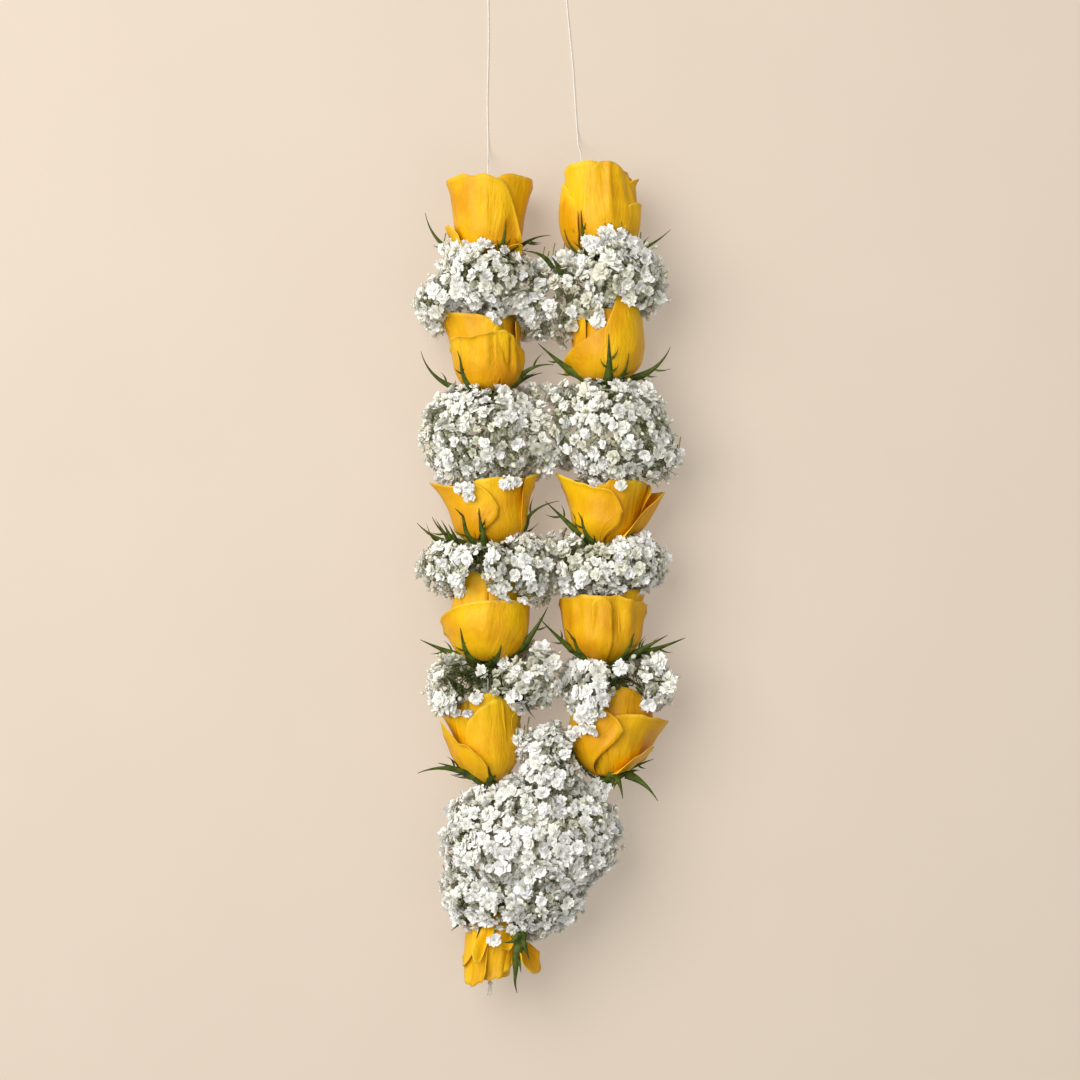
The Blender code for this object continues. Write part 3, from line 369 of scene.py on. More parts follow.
# Leaves that stand out of the bunches: points in the photograph's pixels with their height in
# millimetres, and the width in millimetres.
LEAVES = (
    (((553, 268, 46), (546, 259, 52), (536, 253, 57), (520, 250, 60)), 3.2),
    (((562, 274, 44), (556, 263, 54), (551, 256, 60)), 4.0),
    (((523, 926, 50), (519, 945, 56), (516, 959, 57), (515.5, 973, 57), (515, 983, 55), (517, 993, 52)), 7.0),
    (((521, 938, 55), (526, 950, 56), (529.5, 960, 55)), 4.2),
    (((517, 956, 57), (520, 966, 57), (521, 973, 56)), 2.6),
    (((519, 934, 58), (513, 941, 60), (503, 943, 58)), 3.6),
    (((468, 916, 46), (458, 925, 50), (451, 931, 50)), 3.4),
    (((662, 470, 40), (668, 462, 42), (676, 452, 40)), 1.6),
    (((442, 543, 42), (432, 537, 47), (426, 523, 48)), 1.8),
    (((446, 544, 44), (437, 539, 48), (424, 532, 47)), 1.6),
    (((452, 544, 42), (445, 534, 49), (435.5, 519, 52)), 3.0),
    (((454, 544, 44), (449, 534, 51), (441, 519.5, 54)), 3.2),
    (((456, 542, 46), (453, 533, 52), (448.5, 524, 53)), 3.0),
    (((484, 546, 54), (483, 532, 61), (478, 512, 64)), 4.0),
)
# Groups of florets that hang in front of the roses: middle and half-size in the photograph's
# pixels, and how many.
HANGING = (
    (464, 489, 6, 6, 3), (493, 317, 4, 6, 3), (596, 317, 4, 6, 2), (499, 594, 5, 6, 3),
    (461, 706, 7, 8, 3), (477, 698, 2, 2, 1), (493, 941, 2, 2, 1), (622, 485, 3, 3, 1),
    (590, 720, 10, 9, 6), (675, 457, 5, 7, 3), (613, 238, 13, 6, 7), (592, 244, 8, 4, 4), (633, 243, 8, 5, 4),
    (567, 257, 8, 4, 4), (548, 263, 9, 5, 4), (450, 248, 10, 4, 5), (476, 247, 12, 4, 4),
    (449, 305, 5, 4, 2), (443, 479, 5, 3, 2), (597, 788, 8, 8, 5), (522, 744, 6, 13, 7), (574, 737, 4, 6, 2),
    (595, 482, 8, 5, 4), (512, 482, 10, 3, 3),
)

THREAD_RADIUS = 0.5 * MM
PLY_PITCH = 2.6 * MM
LEFT_THREAD = (
    (-34.8, 240.4), (-34.8, 180.0), (-34.8, 100.0), (-34.8, 20.0), (-34.8, -60.0),
    (-34.8, -130.0), (-34.4, -165.0), (-32.6, -185.0), (-31.4, -199.0), (-32.4, -222.0),
    (-33.4, -241.5),
)
RIGHT_THREAD = (
    (21.6, 247.6), (25.6, 228.0), (30.2, 206.0), (31.8, 190.0), (34.6, 165.0),
    (35.8, 117.0), (37.0, 61.0), (35.0, 5.0), (34.8, -53.0), (38.2, -68.0),
    (36.0, -120.0), (27.0, -142.0), (2.0, -159.0), (-26.0, -175.0),
)
LEFT_TAIL = (
    (-34.8, 240.7, 34.0), (-34.8, 244.6, 33.2), (-34.9, 248.6, 28.4), (-35.0, 251.2, 20.0),
    (-35.1, 253.6, 11.0), (-35.3, 257.4, 4.2), (-35.4, 263.6, 1.0), (-35.5, 272.0, 0.55),
    (-35.9, 290.0, 0.55), (-35.5, 310.0, 0.55), (-35.1, 332.0, 0.55), (-35.5, 358.0, 0.55),
)
RIGHT_TAIL = (
    (21.5, 247.9, 34.0), (21.1, 251.8, 33.2), (20.7, 255.8, 28.4), (20.5, 258.4, 20.0),
    (20.2, 260.8, 11.0), (19.8, 264.6, 4.2), (19.3, 270.8, 1.0), (18.7, 279.0, 0.55),
    (17.6, 296.0, 0.55), (16.4, 314.0, 0.55), (14.3, 335.0, 0.55), (12.2, 358.0, 0.55),
)
TAIL_POINTS = 20
TIP_THREAD_END = (
    (-33.5, -243.6, 34.0), (-33.6, -246.4, 33.8), (-33.9, -249.4, 33.0), (-34.4, -252.0, 31.6),
)
KNOT_RADIUS = 1.6 * MM


class Shape:
    """Points, faces and point values of a mesh that is filled part by part."""

    def __init__(self):
        self.points, self.corners, self.sizes = [], [], []
        self.values = {"across": [], "up": [], "tone": []}
        self.count = 0

    def add(self, points, faces, across=0.0, up=0.5, tone=0.5):
        self.points.append(points)
        self.corners.append((faces + self.count).ravel())
        self.sizes.append(np.full(len(faces), faces.shape[1]))
        for name, value in (("across", across), ("up", up), ("tone", tone)):
            self.values[name].append(np.broadcast_to(value, len(points)))
        self.count += len(points)

    def add_rings(self, rings, across=0.0, tone=0.5):
        """Rings of points joined into a tube with closed ends, from 0 up to 1 up."""
        count, sides = rings.shape[:2]
        up = np.repeat(np.linspace(0, 1, count), sides)
        self.add(rings.reshape(-1, 3), grid_faces(count, sides, closed=True), across, up, tone)
        turn = np.arange(sides)[None, :]
        self.add(rings[0], turn[:, ::-1], tone=tone)
        self.add(rings[-1], turn, tone=tone)

    def add_copy(self, template, middle, facing, spin, size, tone):
        """A copy of a template at a place, spun about its +Z, which then faces a direction."""
        points, faces, ups = template
        turn = Vector(facing).to_track_quat("Z", "Y").to_matrix() @ Matrix.Rotation(spin, 3, "Z")
        self.add(points @ np.array(turn).T * size + middle, faces, up=ups, tone=tone)

    def mesh(self, name):
        points = np.concatenate(self.points)
        points[:, 2] = np.maximum(points[:, 2], LOWEST)
        corners = np.concatenate(self.corners)
        sizes = np.concatenate(self.sizes)
        mesh = bpy.data.meshes.new(name)
        mesh.vertices.add(len(points))
        mesh.vertices.foreach_set("co", points.astype(np.float32).ravel())
        mesh.loops.add(len(corners))
        mesh.loops.foreach_set("vertex_index", corners.astype(np.int32))
        mesh.polygons.add(len(sizes))
        mesh.polygons.foreach_set("loop_start", (np.cumsum(sizes) - sizes).astype(np.int32))
        for key, parts in self.values.items():
            attribute = mesh.attributes.new(key, "FLOAT", "POINT")
            attribute.data.foreach_set("value", np.concatenate(parts).astype(np.float32))
        mesh.update(calc_edges=True)
        mesh.validate()
        mesh.shade_smooth()
        return mesh


def unit(vectors):
    """The vectors made 1 long."""
    return vectors / np.linalg.norm(vectors, axis=-1, keepdims=True)


def random_vector(draw, amount=1.0):
    return np.array([draw.gauss(0, amount) for _ in range(3)])


def grid_faces(rows, columns, closed=False):
    """Quads of a grid of points, row by row, joined across its sides if it is closed."""
    across = np.arange(columns if closed else columns - 1)
    up = np.arange(rows - 1)
    low = (up[:, None] * columns + across).ravel()
    after = (up[:, None] * columns + (across + 1) % columns).ravel()
    return np.stack([low, after, after + columns, low + columns], axis=1)


def spline(values, x):
    """A smooth curve through values at even places from -1 to 1. One number is the same all along."""
    values = np.array(values if np.ndim(values) else (values,) * 3, float)
    place = np.clip((x + 1) / 2, 0, 1) * (len(values) - 1)
    low = np.minimum(place.astype(int), len(values) - 2)
    t = place - low
    ends = np.concatenate([[2 * values[0] - values[1]], values, [2 * values[-1] - values[-2]]])
    a, b, c, d = (ends[low + step] for step in range(4))
    return (2 * b + (c - a) * t + (2 * a - 5 * b + 4 * c - d) * t**2 + (3 * b - a - 3 * c + d) * t**3) / 2


def smooth(x, low, high):
    t = np.clip((x - low) / (high - low), 0, 1)
    return t * t * (3 - 2 * t)


def ripple(draw, x, y, count, fineness):
    """A wavy field made of a few seeded sine waves, from about -1 to 1."""
    total = 0
    for _ in range(count):
        angle = draw.uniform(0, math.tau)
        wave = fineness * draw.uniform(0.6, 1.4)
        total = total + np.sin(wave * (x * math.cos(angle) + y * math.sin(angle)) + draw.uniform(0, math.tau))
    return total / math.sqrt(count)


class Look:
    """A material that is built node by node."""

    def __init__(self, name, **settings):
        """The settings are the shader's own sockets, with _ for a space in their names."""
        self.material = bpy.data.materials.new(name)
        self.material.use_nodes = True
        self.nodes = self.material.node_tree.nodes
        self.links = self.material.node_tree.links
        self.shader = self.nodes["Principled BSDF"]
        for key, value in settings.items():
            self.shader.inputs[key.replace("_", " ")].default_value = value

    def node(self, kind, output, inputs, **settings):
        """An output of a new node, whose inputs are linked or set."""
        node = self.nodes.new(f"ShaderNode{kind}")
        for key, value in settings.items():
            setattr(node, key, value)
        for key, value in inputs.items():
            if isinstance(value, bpy.types.NodeSocket):
                self.links.new(value, node.inputs[key])
            else:
                node.inputs[key].default_value = value
        return node.outputs[output]

    def value(self, name):
        return self.node("Attribute", "Fac", {}, attribute_name=name)

    def ramp(self, source, *stops):
        """Colours that follow a value. Each stop is its place, and its red, green and blue."""
        colours = self.node("ValToRGB", "Color", {"Fac": source})
        elements = colours.node.color_ramp.elements
        while len(elements) < len(stops):
            elements.new(0.5)
        for element, (place, *colour) in zip(elements, stops):
            element.position = place
            element.color = (*colour, 1)
        return colours

    def noise(self, scale, detail=3.0, distortion=0.0, vector=None):
        if vector is None:
            vector = self.node("TexCoord", "Object", {})
        return self.node(
            "TexNoise", "Fac", {"Scale": scale, "Detail": detail, "Distortion": distortion, "Vector": vector}
        )

    def multiply(self, factor, base, shade):
        return self.node("Mix", 2, {0: factor, 6: base, 7: shade}, data_type="RGBA", blend_type="MULTIPLY")

    def along(self, across, up):
        """A vector that follows a petal or blade: across, up and which one it is."""
        return self.node("CombineXYZ", 0, {
            axis: self.node("Math", 0, {0: self.value(name), 1: scale}, operation="MULTIPLY")
            for axis, (name, scale) in enumerate((("across", across), ("up", up), ("tone", 40.0)))
        })

    def finish(self, base, height=None, strength=0.0, distance=0.0):
        self.links.new(base, self.shader.inputs["Base Color"])
        if height is not None:
            normal = self.node("Bump", 0, {"Strength": strength, "Distance": distance, "Height": height})
            self.links.new(normal, self.shader.inputs["Normal"])
        return self.material


def petal_material():
    look = Look(
        "rose_petal", Roughness=0.44, Specular_IOR_Level=0.23, Subsurface_Weight=0.12,
        Subsurface_Radius=(1.0, 0.4, 0.05), Subsurface_Scale=0.0012,
    )
    # Darker, deeper orange towards each petal's foot: painted shade for the foot down in the cup and under the
    # florets. Paler at the rim.
    base = look.ramp(
        look.value("up"), (0.0, 0.76, 0.42, 0.008), (0.25, 0.86, 0.475, 0.003), (0.75, 0.90, 0.525, 0.003),
        (0.95, 0.90, 0.55, 0.006), (1.0, 0.92, 0.63, 0.05),
    )
    streaks = look.noise(1.0, 5.0, 0.8, look.along(0.55, 3.5))
    base = look.multiply(0.3, base, look.ramp(streaks, (0.34, 0.86, 0.76, 0.6), (0.62, 1, 1, 1)))
    patches = look.noise(38.0, 4.0)
    base = look.multiply(0.8, base, look.ramp(patches, (0.38, 0.82, 0.64, 0.4), (0.58, 1, 1, 1)))
    base = look.multiply(0.8, base, look.ramp(look.value("tone"), (0.0, 0.88, 0.80, 0.6), (0.7, 1, 1, 1)))
    veins = look.noise(1.0, 5.0, 0.9, look.along(0.8, 4.5))
    return look.finish(base, veins, 0.65, 0.001)


def floret_material():
    look = Look(
        "white_floret", Roughness=0.62, Subsurface_Weight=0.2, Subsurface_Radius=(1.0, 1.0, 0.9),
        Subsurface_Scale=0.001,
    )
    # Greener and darker towards each petal's foot: partly the floret's own green heart, partly painted shade
    # between its petals.
    base = look.ramp(
        look.value("up"), (0.0, 0.50, 0.56, 0.30), (0.38, 0.86, 0.88, 0.80), (0.65, 0.96, 0.965, 0.95),
        (1.0, 0.98, 0.98, 0.98),
    )
    # Low tones darken the florets: painted shade on the deep florets and on bunches with a low least tone,
    # besides tone that differs at random.
    tone = look.ramp(
        look.value("tone"), (0.0, 0.66, 0.66, 0.50), (0.4, 0.86, 0.85, 0.74), (0.55, 0.95, 0.945, 0.89),
        (1.0, 1, 1, 1),
    )
    return look.finish(look.multiply(1.0, base, tone), look.noise(1600.0, 2.0), 0.3, 0.0002)


def green_material(name, roughness, dark, light):
    """Sepals, leaves and stems, which are browner at their tips."""
    look = Look(
        name, Roughness=roughness, Specular_IOR_Level=0.25, Subsurface_Weight=0.08,
        Subsurface_Radius=(0.4, 1.0, 0.2), Subsurface_Scale=0.001,
    )
    base = look.ramp(look.noise(260.0), (0.3, *dark), (0.7, *light))
    tip = look.ramp(look.value("up"), (0.0, 1.15, 1.12, 1.0), (0.7, 1, 1, 1), (1.0, 0.95, 0.7, 0.6))
    veins = look.noise(1.0, vector=look.along(5.0, 2.0))
    return look.finish(look.multiply(0.8, base, tip), veins, 0.4, 0.0003)


def heart_stems_and_shade_material():
    """The heart of a bunch: tangled stems painted near black, which also stands for the painted shade deep
    among them, with pale flecks of deep florets.
    """
    look = Look("bunch_heart_stems_and_shade", Roughness=0.8)
    base = look.ramp(
        look.noise(240.0, 4.0), (0.38, 0.012, 0.016, 0.005), (0.58, 0.035, 0.042, 0.014),
        (0.75, 0.14, 0.15, 0.08),
    )
    return look.finish(base, look.noise(500.0), 0.8, 0.001)


def thread_material():
    look = Look("cotton_thread", Roughness=0.85)
    base = look.ramp(look.noise(900.0, 2.0), (0.3, 0.70, 0.67, 0.60), (0.7, 0.90, 0.88, 0.83))
    return look.finish(base, look.noise(2500.0, 2.0), 0.5, 0.0002)


def floor_material():
    """It gives off a little light, because the photograph's wall is far behind the garland."""
    look = Look("pale_surface", Roughness=0.85, Emission_Color=(0.80, 0.68, 0.557, 1), Emission_Strength=0.4)
    return look.finish(look.ramp(look.noise(9.0), (0.3, 0.40, 0.341, 0.278), (0.7, 0.413, 0.354, 0.291)))


def new_object(name, data):
    made = bpy.data.objects.new(name, data)
    bpy.context.scene.collection.objects.link(made)
    return made


def add_piece(name, data, material, slot, *replaced):
    """A piece of the garland, which rides on the frame's one body."""
    piece = new_object(name, data)
    data.materials.append(material)
    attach(piece, "root")
    if replaced:
        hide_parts(*replaced)
    return piece


def add_camera():
    data = bpy.data.cameras.new("camera")
    data.lens = 85
    data.sensor_width = 36
    camera = new_object("camera", data)
    camera.location = CAMERA_PLACE
    bpy.context.scene.camera = camera


def add_light(name, place, size, power, colour):
    data = bpy.data.lights.new(name, "AREA")
    data.shape = "DISK"
    data.size = size
    data.energy = power
    data.color = colour
    light = new_object(name, data)
    light.location = place
    light.rotation_euler = (-Vector(place)).to_track_quat("-Z", "Y").to_euler()


def add_studio():
    bpy.ops.mesh.primitive_plane_add(size=14)
    floor = bpy.context.object
    floor.name = "floor"
    floor.data.materials.append(floor_material())
    add_light("key", (-0.92, 0.6, 1.58), 1.8, 42, (1.0, 0.975, 0.94))
    add_light("fill", (0.9, -0.5, 2.0), 1.6, 5, (0.96, 0.98, 1.0))
    world = bpy.data.worlds.new("studio")
    world.use_nodes = True
    background = world.node_tree.nodes["Background"]
    background.inputs["Color"].default_value = (1.0, 0.98, 0.95, 1)
    background.inputs["Strength"].default_value = 0.3
    bpy.context.scene.world = world
    bpy.context.scene.view_settings.view_transform = "Standard"


def spread(points, count):
    """Points evenly spread along a path."""
    places = np.array([tuple(point) for point in points])
    lengths = np.concatenate([[0.0], np.cumsum(np.linalg.norm(np.diff(places, axis=0), axis=1))])
    wanted = np.linspace(0, lengths[-1], count)
    return np.column_stack([np.interp(wanted, lengths, places[:, axis]) for axis in range(3)])


def smooth_route(points, count):
    """Evenly spread points on a smooth curve through the route's own points."""
    points = [Vector(point) for point in points]
    ends = [points[0] * 2 - points[1]] + points + [points[-1] * 2 - points[-2]]
    fine = []
    for a, b, c, d in zip(ends, ends[1:], ends[2:], ends[3:]):
        for step in range(16):
            t = step / 16
            fine.append((
                b * 2 + (c - a) * t + (a * 2 - b * 5 + c * 4 - d) * t**2
                + (b * 3 - a - c * 3 + d) * t**3
            ) / 2)
    return spread(fine + [points[-1]], count)


def path_length(points):
    return float(np.linalg.norm(np.diff(points, axis=0), axis=1).sum())


def frames_along(points):
    """Two directions square to a path at each of its points, which turn as little as they can."""
    ahead = unit(np.gradient(points, axis=0))
    side = np.cross(ahead[0], UP)
    if np.linalg.norm(side) < 0.1:
        side = np.cross(ahead[0], (1.0, 0.0, 0.0))
    sides = []
    for direction in ahead:
        side = unit(side - direction * side.dot(direction))
        sides.append(side)
    return np.array(sides), np.cross(ahead, sides)


def add_tube(shape, points, radii, sides):
    """A tube along the points, with one radius or a row of them for each point."""
    across, level = frames_along(points)
    angles = ring_angles(sides)[:, None]
    rings = np.cos(angles) * across[:, None, :] + np.sin(angles) * level[:, None, :]
    radii = np.broadcast_to(radii, (len(points), sides))
    shape.add_rings(points[:, None, :] + rings * radii[..., None])


def ring_angles(sides):
    return np.arange(sides) * math.tau / sides


def turned(profile, sides):
    """Points of a profile of radii and heights, turned about Z."""
    angles = ring_angles(sides)
    radii, heights = np.array(profile).T[:, :, None]
    rings = (radii * np.cos(angles), radii * np.sin(angles), np.repeat(heights, sides, axis=1))
    return np.stack(rings, axis=-1).reshape(-1, 3)


def add_thread(shape, points, step=0.34 * MM, sides=10):
    """A thread of two twisted plies along the points."""
    length = path_length(points)
    count = max(8, int(length / step))
    turn = np.linspace(0, length, count)[:, None] / PLY_PITCH * math.tau
    radii = THREAD_RADIUS * (0.82 + 0.18 * np.cos(2 * (ring_angles(sides) - turn)))
    add_tube(shape, spread(points, count), radii, sides)


def add_knot(shape, middle):
    """A small overhand knot: a ball of thread wound round itself."""
    turns = 3
    angle = np.linspace(0, math.tau * turns, 60)
    tilt = angle / turns / 2
    path = (KNOT_RADIUS - THREAD_RADIUS * 0.9) * np.column_stack([
        np.cos(angle) * np.cos(tilt), np.cos(angle) * np.sin(tilt) * 0.9, np.sin(angle),
    ])
    add_tube(shape, path + np.array(middle), THREAD_RADIUS * 0.9, 8)


def make_tails(material):
    for side, plan in (("left", LEFT_TAIL), ("right", RIGHT_TAIL)):
        route = smooth_route(np.array(plan) * MM, TAIL_POINTS)
        thread, ball = Shape(), Shape()
        add_thread(thread, route)
        tail = add_piece(f"loose_thread_{side}", thread.mesh("tail"), material, "thread", f"tail_{side}")
        place = Vector(route[-1]) + Vector(route[-1] - route[-2]).normalized() * (KNOT_RADIUS + 0.3 * MM)
        place.z = KNOT_RADIUS + 0.05 * MM
        add_knot(ball, place)
        knot = add_piece(f"thread_knot_{side}", ball.mesh("knot"), material, "thread", f"tail_knot_{side}")


def make_threads(material):
    for side, plan in (("left", LEFT_THREAD), ("right", RIGHT_THREAD)):
        shape = Shape()
        add_thread(shape, np.array([(x * MM, y * MM, STRAND_HEIGHT) for x, y in plan]), 0.9 * MM, 7)
        add_piece(f"strand_thread_{side}", shape.mesh("thread"), material, "thread", f"thread_{side}")
    shape = Shape()
    end = smooth_route(np.array(TIP_THREAD_END) * MM, 12)
    add_thread(shape, end)
    add_knot(shape, end[0])
    for offset in (-0.7, 0.8):
        spare = end + np.linspace(0, 1, len(end))[:, None] * np.array((offset, 0.5, 0.0)) * MM
        add_thread(shape, spare + np.array((offset * 0.6, 0.0, 0.0)) * MM)
    add_piece("tip_thread_end", shape.mesh("tip"), material, "thread", "tip_knot")


def rose_matrix(name):
    """The rose's frame in the garland's: X up, Y across and Z from its base to its mouth."""
    base_x, base_y, mouth_x, mouth_y = ROSES[name]
    axis = Vector((mouth_x - base_x, mouth_y - base_y, 0)).normalized()
    turn = Matrix((UP, axis.cross(UP), axis)).transposed().to_4x4()
    return Matrix.Translation((base_x * MM, base_y * MM, STRAND_HEIGHT)) @ turn


def rose_height(name):
    return math.dist(ROSES[name][:2], ROSES[name][2:]) * MM


def place_points(matrix, points):
    turn = np.array(matrix.to_3x3())
    return points @ turn.T + np.array(matrix.translation)


def cup_radius(name, height):
    """How far the cup of a rose lies from its axis at a height."""
    low, belly, mouth = (radius * MM for radius in CUPS[name])
    share = height / rose_height(name)
    power = math.log((low - PETAL_FOOT_RADIUS) / (belly - PETAL_FOOT_RADIUS)) / math.log(0.51)
    x = np.clip(share / 0.4, 0, 1)
    rounded = (1 - (1 - x) ** 2) ** power
    return (
        PETAL_FOOT_RADIUS + (belly - PETAL_FOOT_RADIUS) * rounded
        + (mouth - belly) * smooth(share, 0.4, 1.0)
    )


def petal_points(name, petal, layer, grid, draw):
    """A grid of points on a petal in its rose's frame, with how far across and up each lies."""
    azimuth, half, rim, reach, roll, *habits = petal
    habit = dict(PETAL_HABIT, **(habits[0] if habits else {}))
    columns, rows = grid
    across = np.linspace(-1, 1, columns)
    up = np.linspace(0, 1, rows) ** 1.35
    foot = 1.0 * MM
    edge = np.clip((np.abs(across) - PETAL_SHOULDER) / (1 - PETAL_SHOULDER), 0, 1)
    rim = foot + (spline(rim, across) * MM - foot) * (1 - 0.13 * edge**2.5)
    rim = rim + habit["ragged"] * MM * ripple(draw, across * half / 5, 0, 4, 1.2)
    reach = spline(reach, across) * MM
    curl = np.radians(spline(roll, across))
    across, up = np.meshgrid(across, up)
    rise = foot + (rim - foot) * up
    out = cup_radius(name, rise) + layer * smooth(rise, 0, 9 * MM)
    bend = habit["bend"]
    flare = reach - cup_radius(name, rim) - layer
    out = out + flare * np.clip((up - bend) / (1 - bend), 0, 1) ** habit["power"]
    # The last of the petal curls outwards over its rim.
    turn = curl * np.clip((up - CURL_START) / (1 - CURL_START), 0, 1)
    out = out + PETAL_ROLL_RADIUS * (1 - np.cos(turn))
    rise = rise - PETAL_ROLL_RADIUS * (turn - np.sin(turn))
    foot_width = np.where(across < 0, *habit["foot"])
    width = foot_width + (1 - foot_width) * smooth(up, 0.0, habit["full"])
    angle = np.radians(azimuth + across * half * width)
    out = out + habit["wave"] * MM * ripple(draw, across * half / 40, up * 1.2, 4, 3.0) * up**1.5
    folds = 0
    for _ in range(5):
        fineness = draw.uniform(5, 16)
        slant = draw.uniform(-5, 5)
        folds = folds + np.sin(fineness * across * half / 60 + slant * up + draw.uniform(0, math.tau))
    out = out + habit["crease"] * 0.32 * MM * folds * smooth(up, 0.1, 0.7)
    out = out + 0.24 * MM * ripple(draw, across * half / 8, up * 5, 6, 1.6) * smooth(up, 0.1, 0.5)
    out = out + 0.13 * MM * ripple(draw, across * half / 3.4, up * 6, 6, 1.5) * smooth(up, 0.15, 0.5)
    place, height, breadth = habit["ridge"]
    out = out + height * MM * np.exp(-(((across - place) / breadth) ** 2)) * smooth(up, 0.1, 0.8)
    # One edge of a petal tucks under its neighbour, and both curl out a little.
    out = out + 0.3 * MM * across * up + 0.9 * MM * smooth(np.abs(across), 0.84, 1.0) * up
    points = np.stack([out * np.cos(angle), out * np.sin(angle), rise], axis=-1)
    points[..., 0] = np.maximum(points[..., 0], PETAL_FLOOR - STRAND_HEIGHT)
    return points, across * half / 60, up


def inner_petals(name):
    """The petals of a rose's heart, wound in a spiral."""
    height = rose_height(name) / MM
    mouth = CUPS[name][2]
    count, spare = (9, 1.5) if name in OPEN_ROSES else (5, 0)
    for index in range(count):
        share = (index + 1) / count
        rim = height * (0.9 - 0.05 * share)
        rims = (rim - 3, rim, rim + 0.5, rim, rim - 3)
        reach = mouth * (0.9 - 0.62 * share) + spare * (1 - share)
        yield 40 + 137.5 * index, 80, rims, reach, (30, 50, 30), {"wave": 0.3, "bend": 0.0}


def make_rose(name, material):
    """The petals of a rose, whose mesh is returned for the sepals and florets to lie against."""
    draw = random.Random(f"{SEED} {name}")
    matrix = rose_matrix(name)
    shape = Shape()
    least, most = PETAL_TONES.get(name, (0, 1))
    plan = [(petal, (-3.5 - 0.9 * index) * MM, INNER_GRID) for index, petal in enumerate(inner_petals(name))]
    plan += [
        (petal, 0.4 * MM - PETAL_LAYER * (len(PETALS[name]) - 1 - index), OUTER_GRID)
        for index, petal in enumerate(PETALS[name])
    ]
    for petal, layer, grid in plan:
        points, across, up = petal_points(name, petal, layer, grid, draw)
        shape.add(
            place_points(matrix, points.reshape(-1, 3)), grid_faces(grid[1], grid[0]),
            across.ravel() * 10, up.ravel(), least + (most - least) * draw.random(),
        )
    rose = add_piece(f"bloom_{name}", shape.mesh("rose"), material, "petal", f"rose_{name}")
    solid = rose.modifiers.new("thickness", "SOLIDIFY")
    solid.thickness = PETAL_THICKNESS
    solid.offset = 0
    return rose.data


def bloom_reach(tree, name, middle, outward):
    """How far the outside of a bloom lies from a point on its axis, or None where it has no petal."""
    matrix = rose_matrix(name)
    hit = tree.ray_cast(matrix @ (middle + outward * RAY_START * MM), matrix.to_3x3() @ -outward)
    return None if hit[0] is None or hit[3] > RAY_START * MM else RAY_START * MM - hit[3]


def sepal_path(tree, name, outward, length, lean, curl):
    """Points of a sepal's middle line in its rose's frame."""
    middle = UP * (0.35 * rose_height(name))
    hug = min(SEPAL_HUG, length) if lean else length
    # It starts on the side of the hip.
    hugged = [(outward * 3.4 - UP * 2.6) * MM]
    for rise in range(30, 150, 3):
        angle = math.radians(rise)
        ray = outward * math.sin(angle) - UP * math.cos(angle)
        reach = bloom_reach(tree, name, middle, ray)
        if reach is not None:
            hugged.append(middle + ray * (reach + SEPAL_CLEARANCE))
    path = hugged[:1]
    travelled = 0.0
    for before, point, after in zip(hugged, hugged[1:], hugged[2:]):
        point = (before + point + after) / 3 if len(path) > 2 else point
        travelled += (point - path[-1]).length
        path.append(point)
        if travelled >= hug:
            break
    steps = 10
    if travelled < length:
        for step in range(steps):
            angle = math.radians(lean + curl * (step + 0.5) / steps)
            forward = outward * math.sin(angle) + UP * math.cos(angle)
            path.append(path[-1] + forward * (length - travelled) / steps)
    # Where the free part would run into a petal, it lies on that petal instead.
    for point in path[-steps:]:
        radius = math.hypot(point.x, point.y)
        reach = bloom_reach(tree, name, UP * point.z, outward) if point.z > 0 else None
        if reach is not None and radius < reach + SEPAL_CLEARANCE:
            point.xy *= (reach + SEPAL_CLEARANCE) / radius
    return spread(path, SEPAL_POINTS)


def add_blade(shape, path, width, outward_of, tone, columns=7):
    """A keeled blade on a path, which tapers to its tip."""
    outward_of = np.broadcast_to(outward_of, path.shape)
    ahead = unit(np.gradient(path, axis=0))
    out = unit(outward_of - ahead * (outward_of * ahead).sum(axis=1)[:, None])
    side = np.cross(ahead, out)
    even = np.linspace(0, 1, len(path))
    half = width / 2 * np.interp(even, np.linspace(0, 1, len(SEPAL_PROFILE)), SEPAL_PROFILE)[:, None]
    thick = SEPAL_THICKNESS * (0.35 + 0.65 * half / half.max())
    across = np.linspace(-1, 1, columns)
    lift = half * 0.35 * (1 - np.abs(across))
    flat = path[:, None, :] + side[:, None, :] * (half * across)[..., None]
    upper = flat + out[:, None, :] * (lift + thick * (1 - np.abs(across)) ** 0.5)[..., None]
    lower = flat + out[:, None, :] * (lift * 0.6)[..., None]
    rings = np.concatenate([upper, lower[:, -2:0:-1, :]], axis=1)
    shape.add_rings(rings, np.tile(np.concatenate([across, across[-2:0:-1]]), len(path)), tone)
    return side, half


def add_lobe(shape, start, ahead, side, outward, length, tone):
    """A narrow side tooth of a sepal."""
    steps = 6
    turn = np.linspace(math.radians(50), math.radians(14), steps)[:, None]
    ways = ahead * np.cos(turn) + side * np.sin(turn) + outward * 0.15
    path = np.vstack([start, start + np.cumsum(ways, axis=0) * length / steps])
    add_blade(shape, path, LOBE_WIDTH, outward, tone, 5)


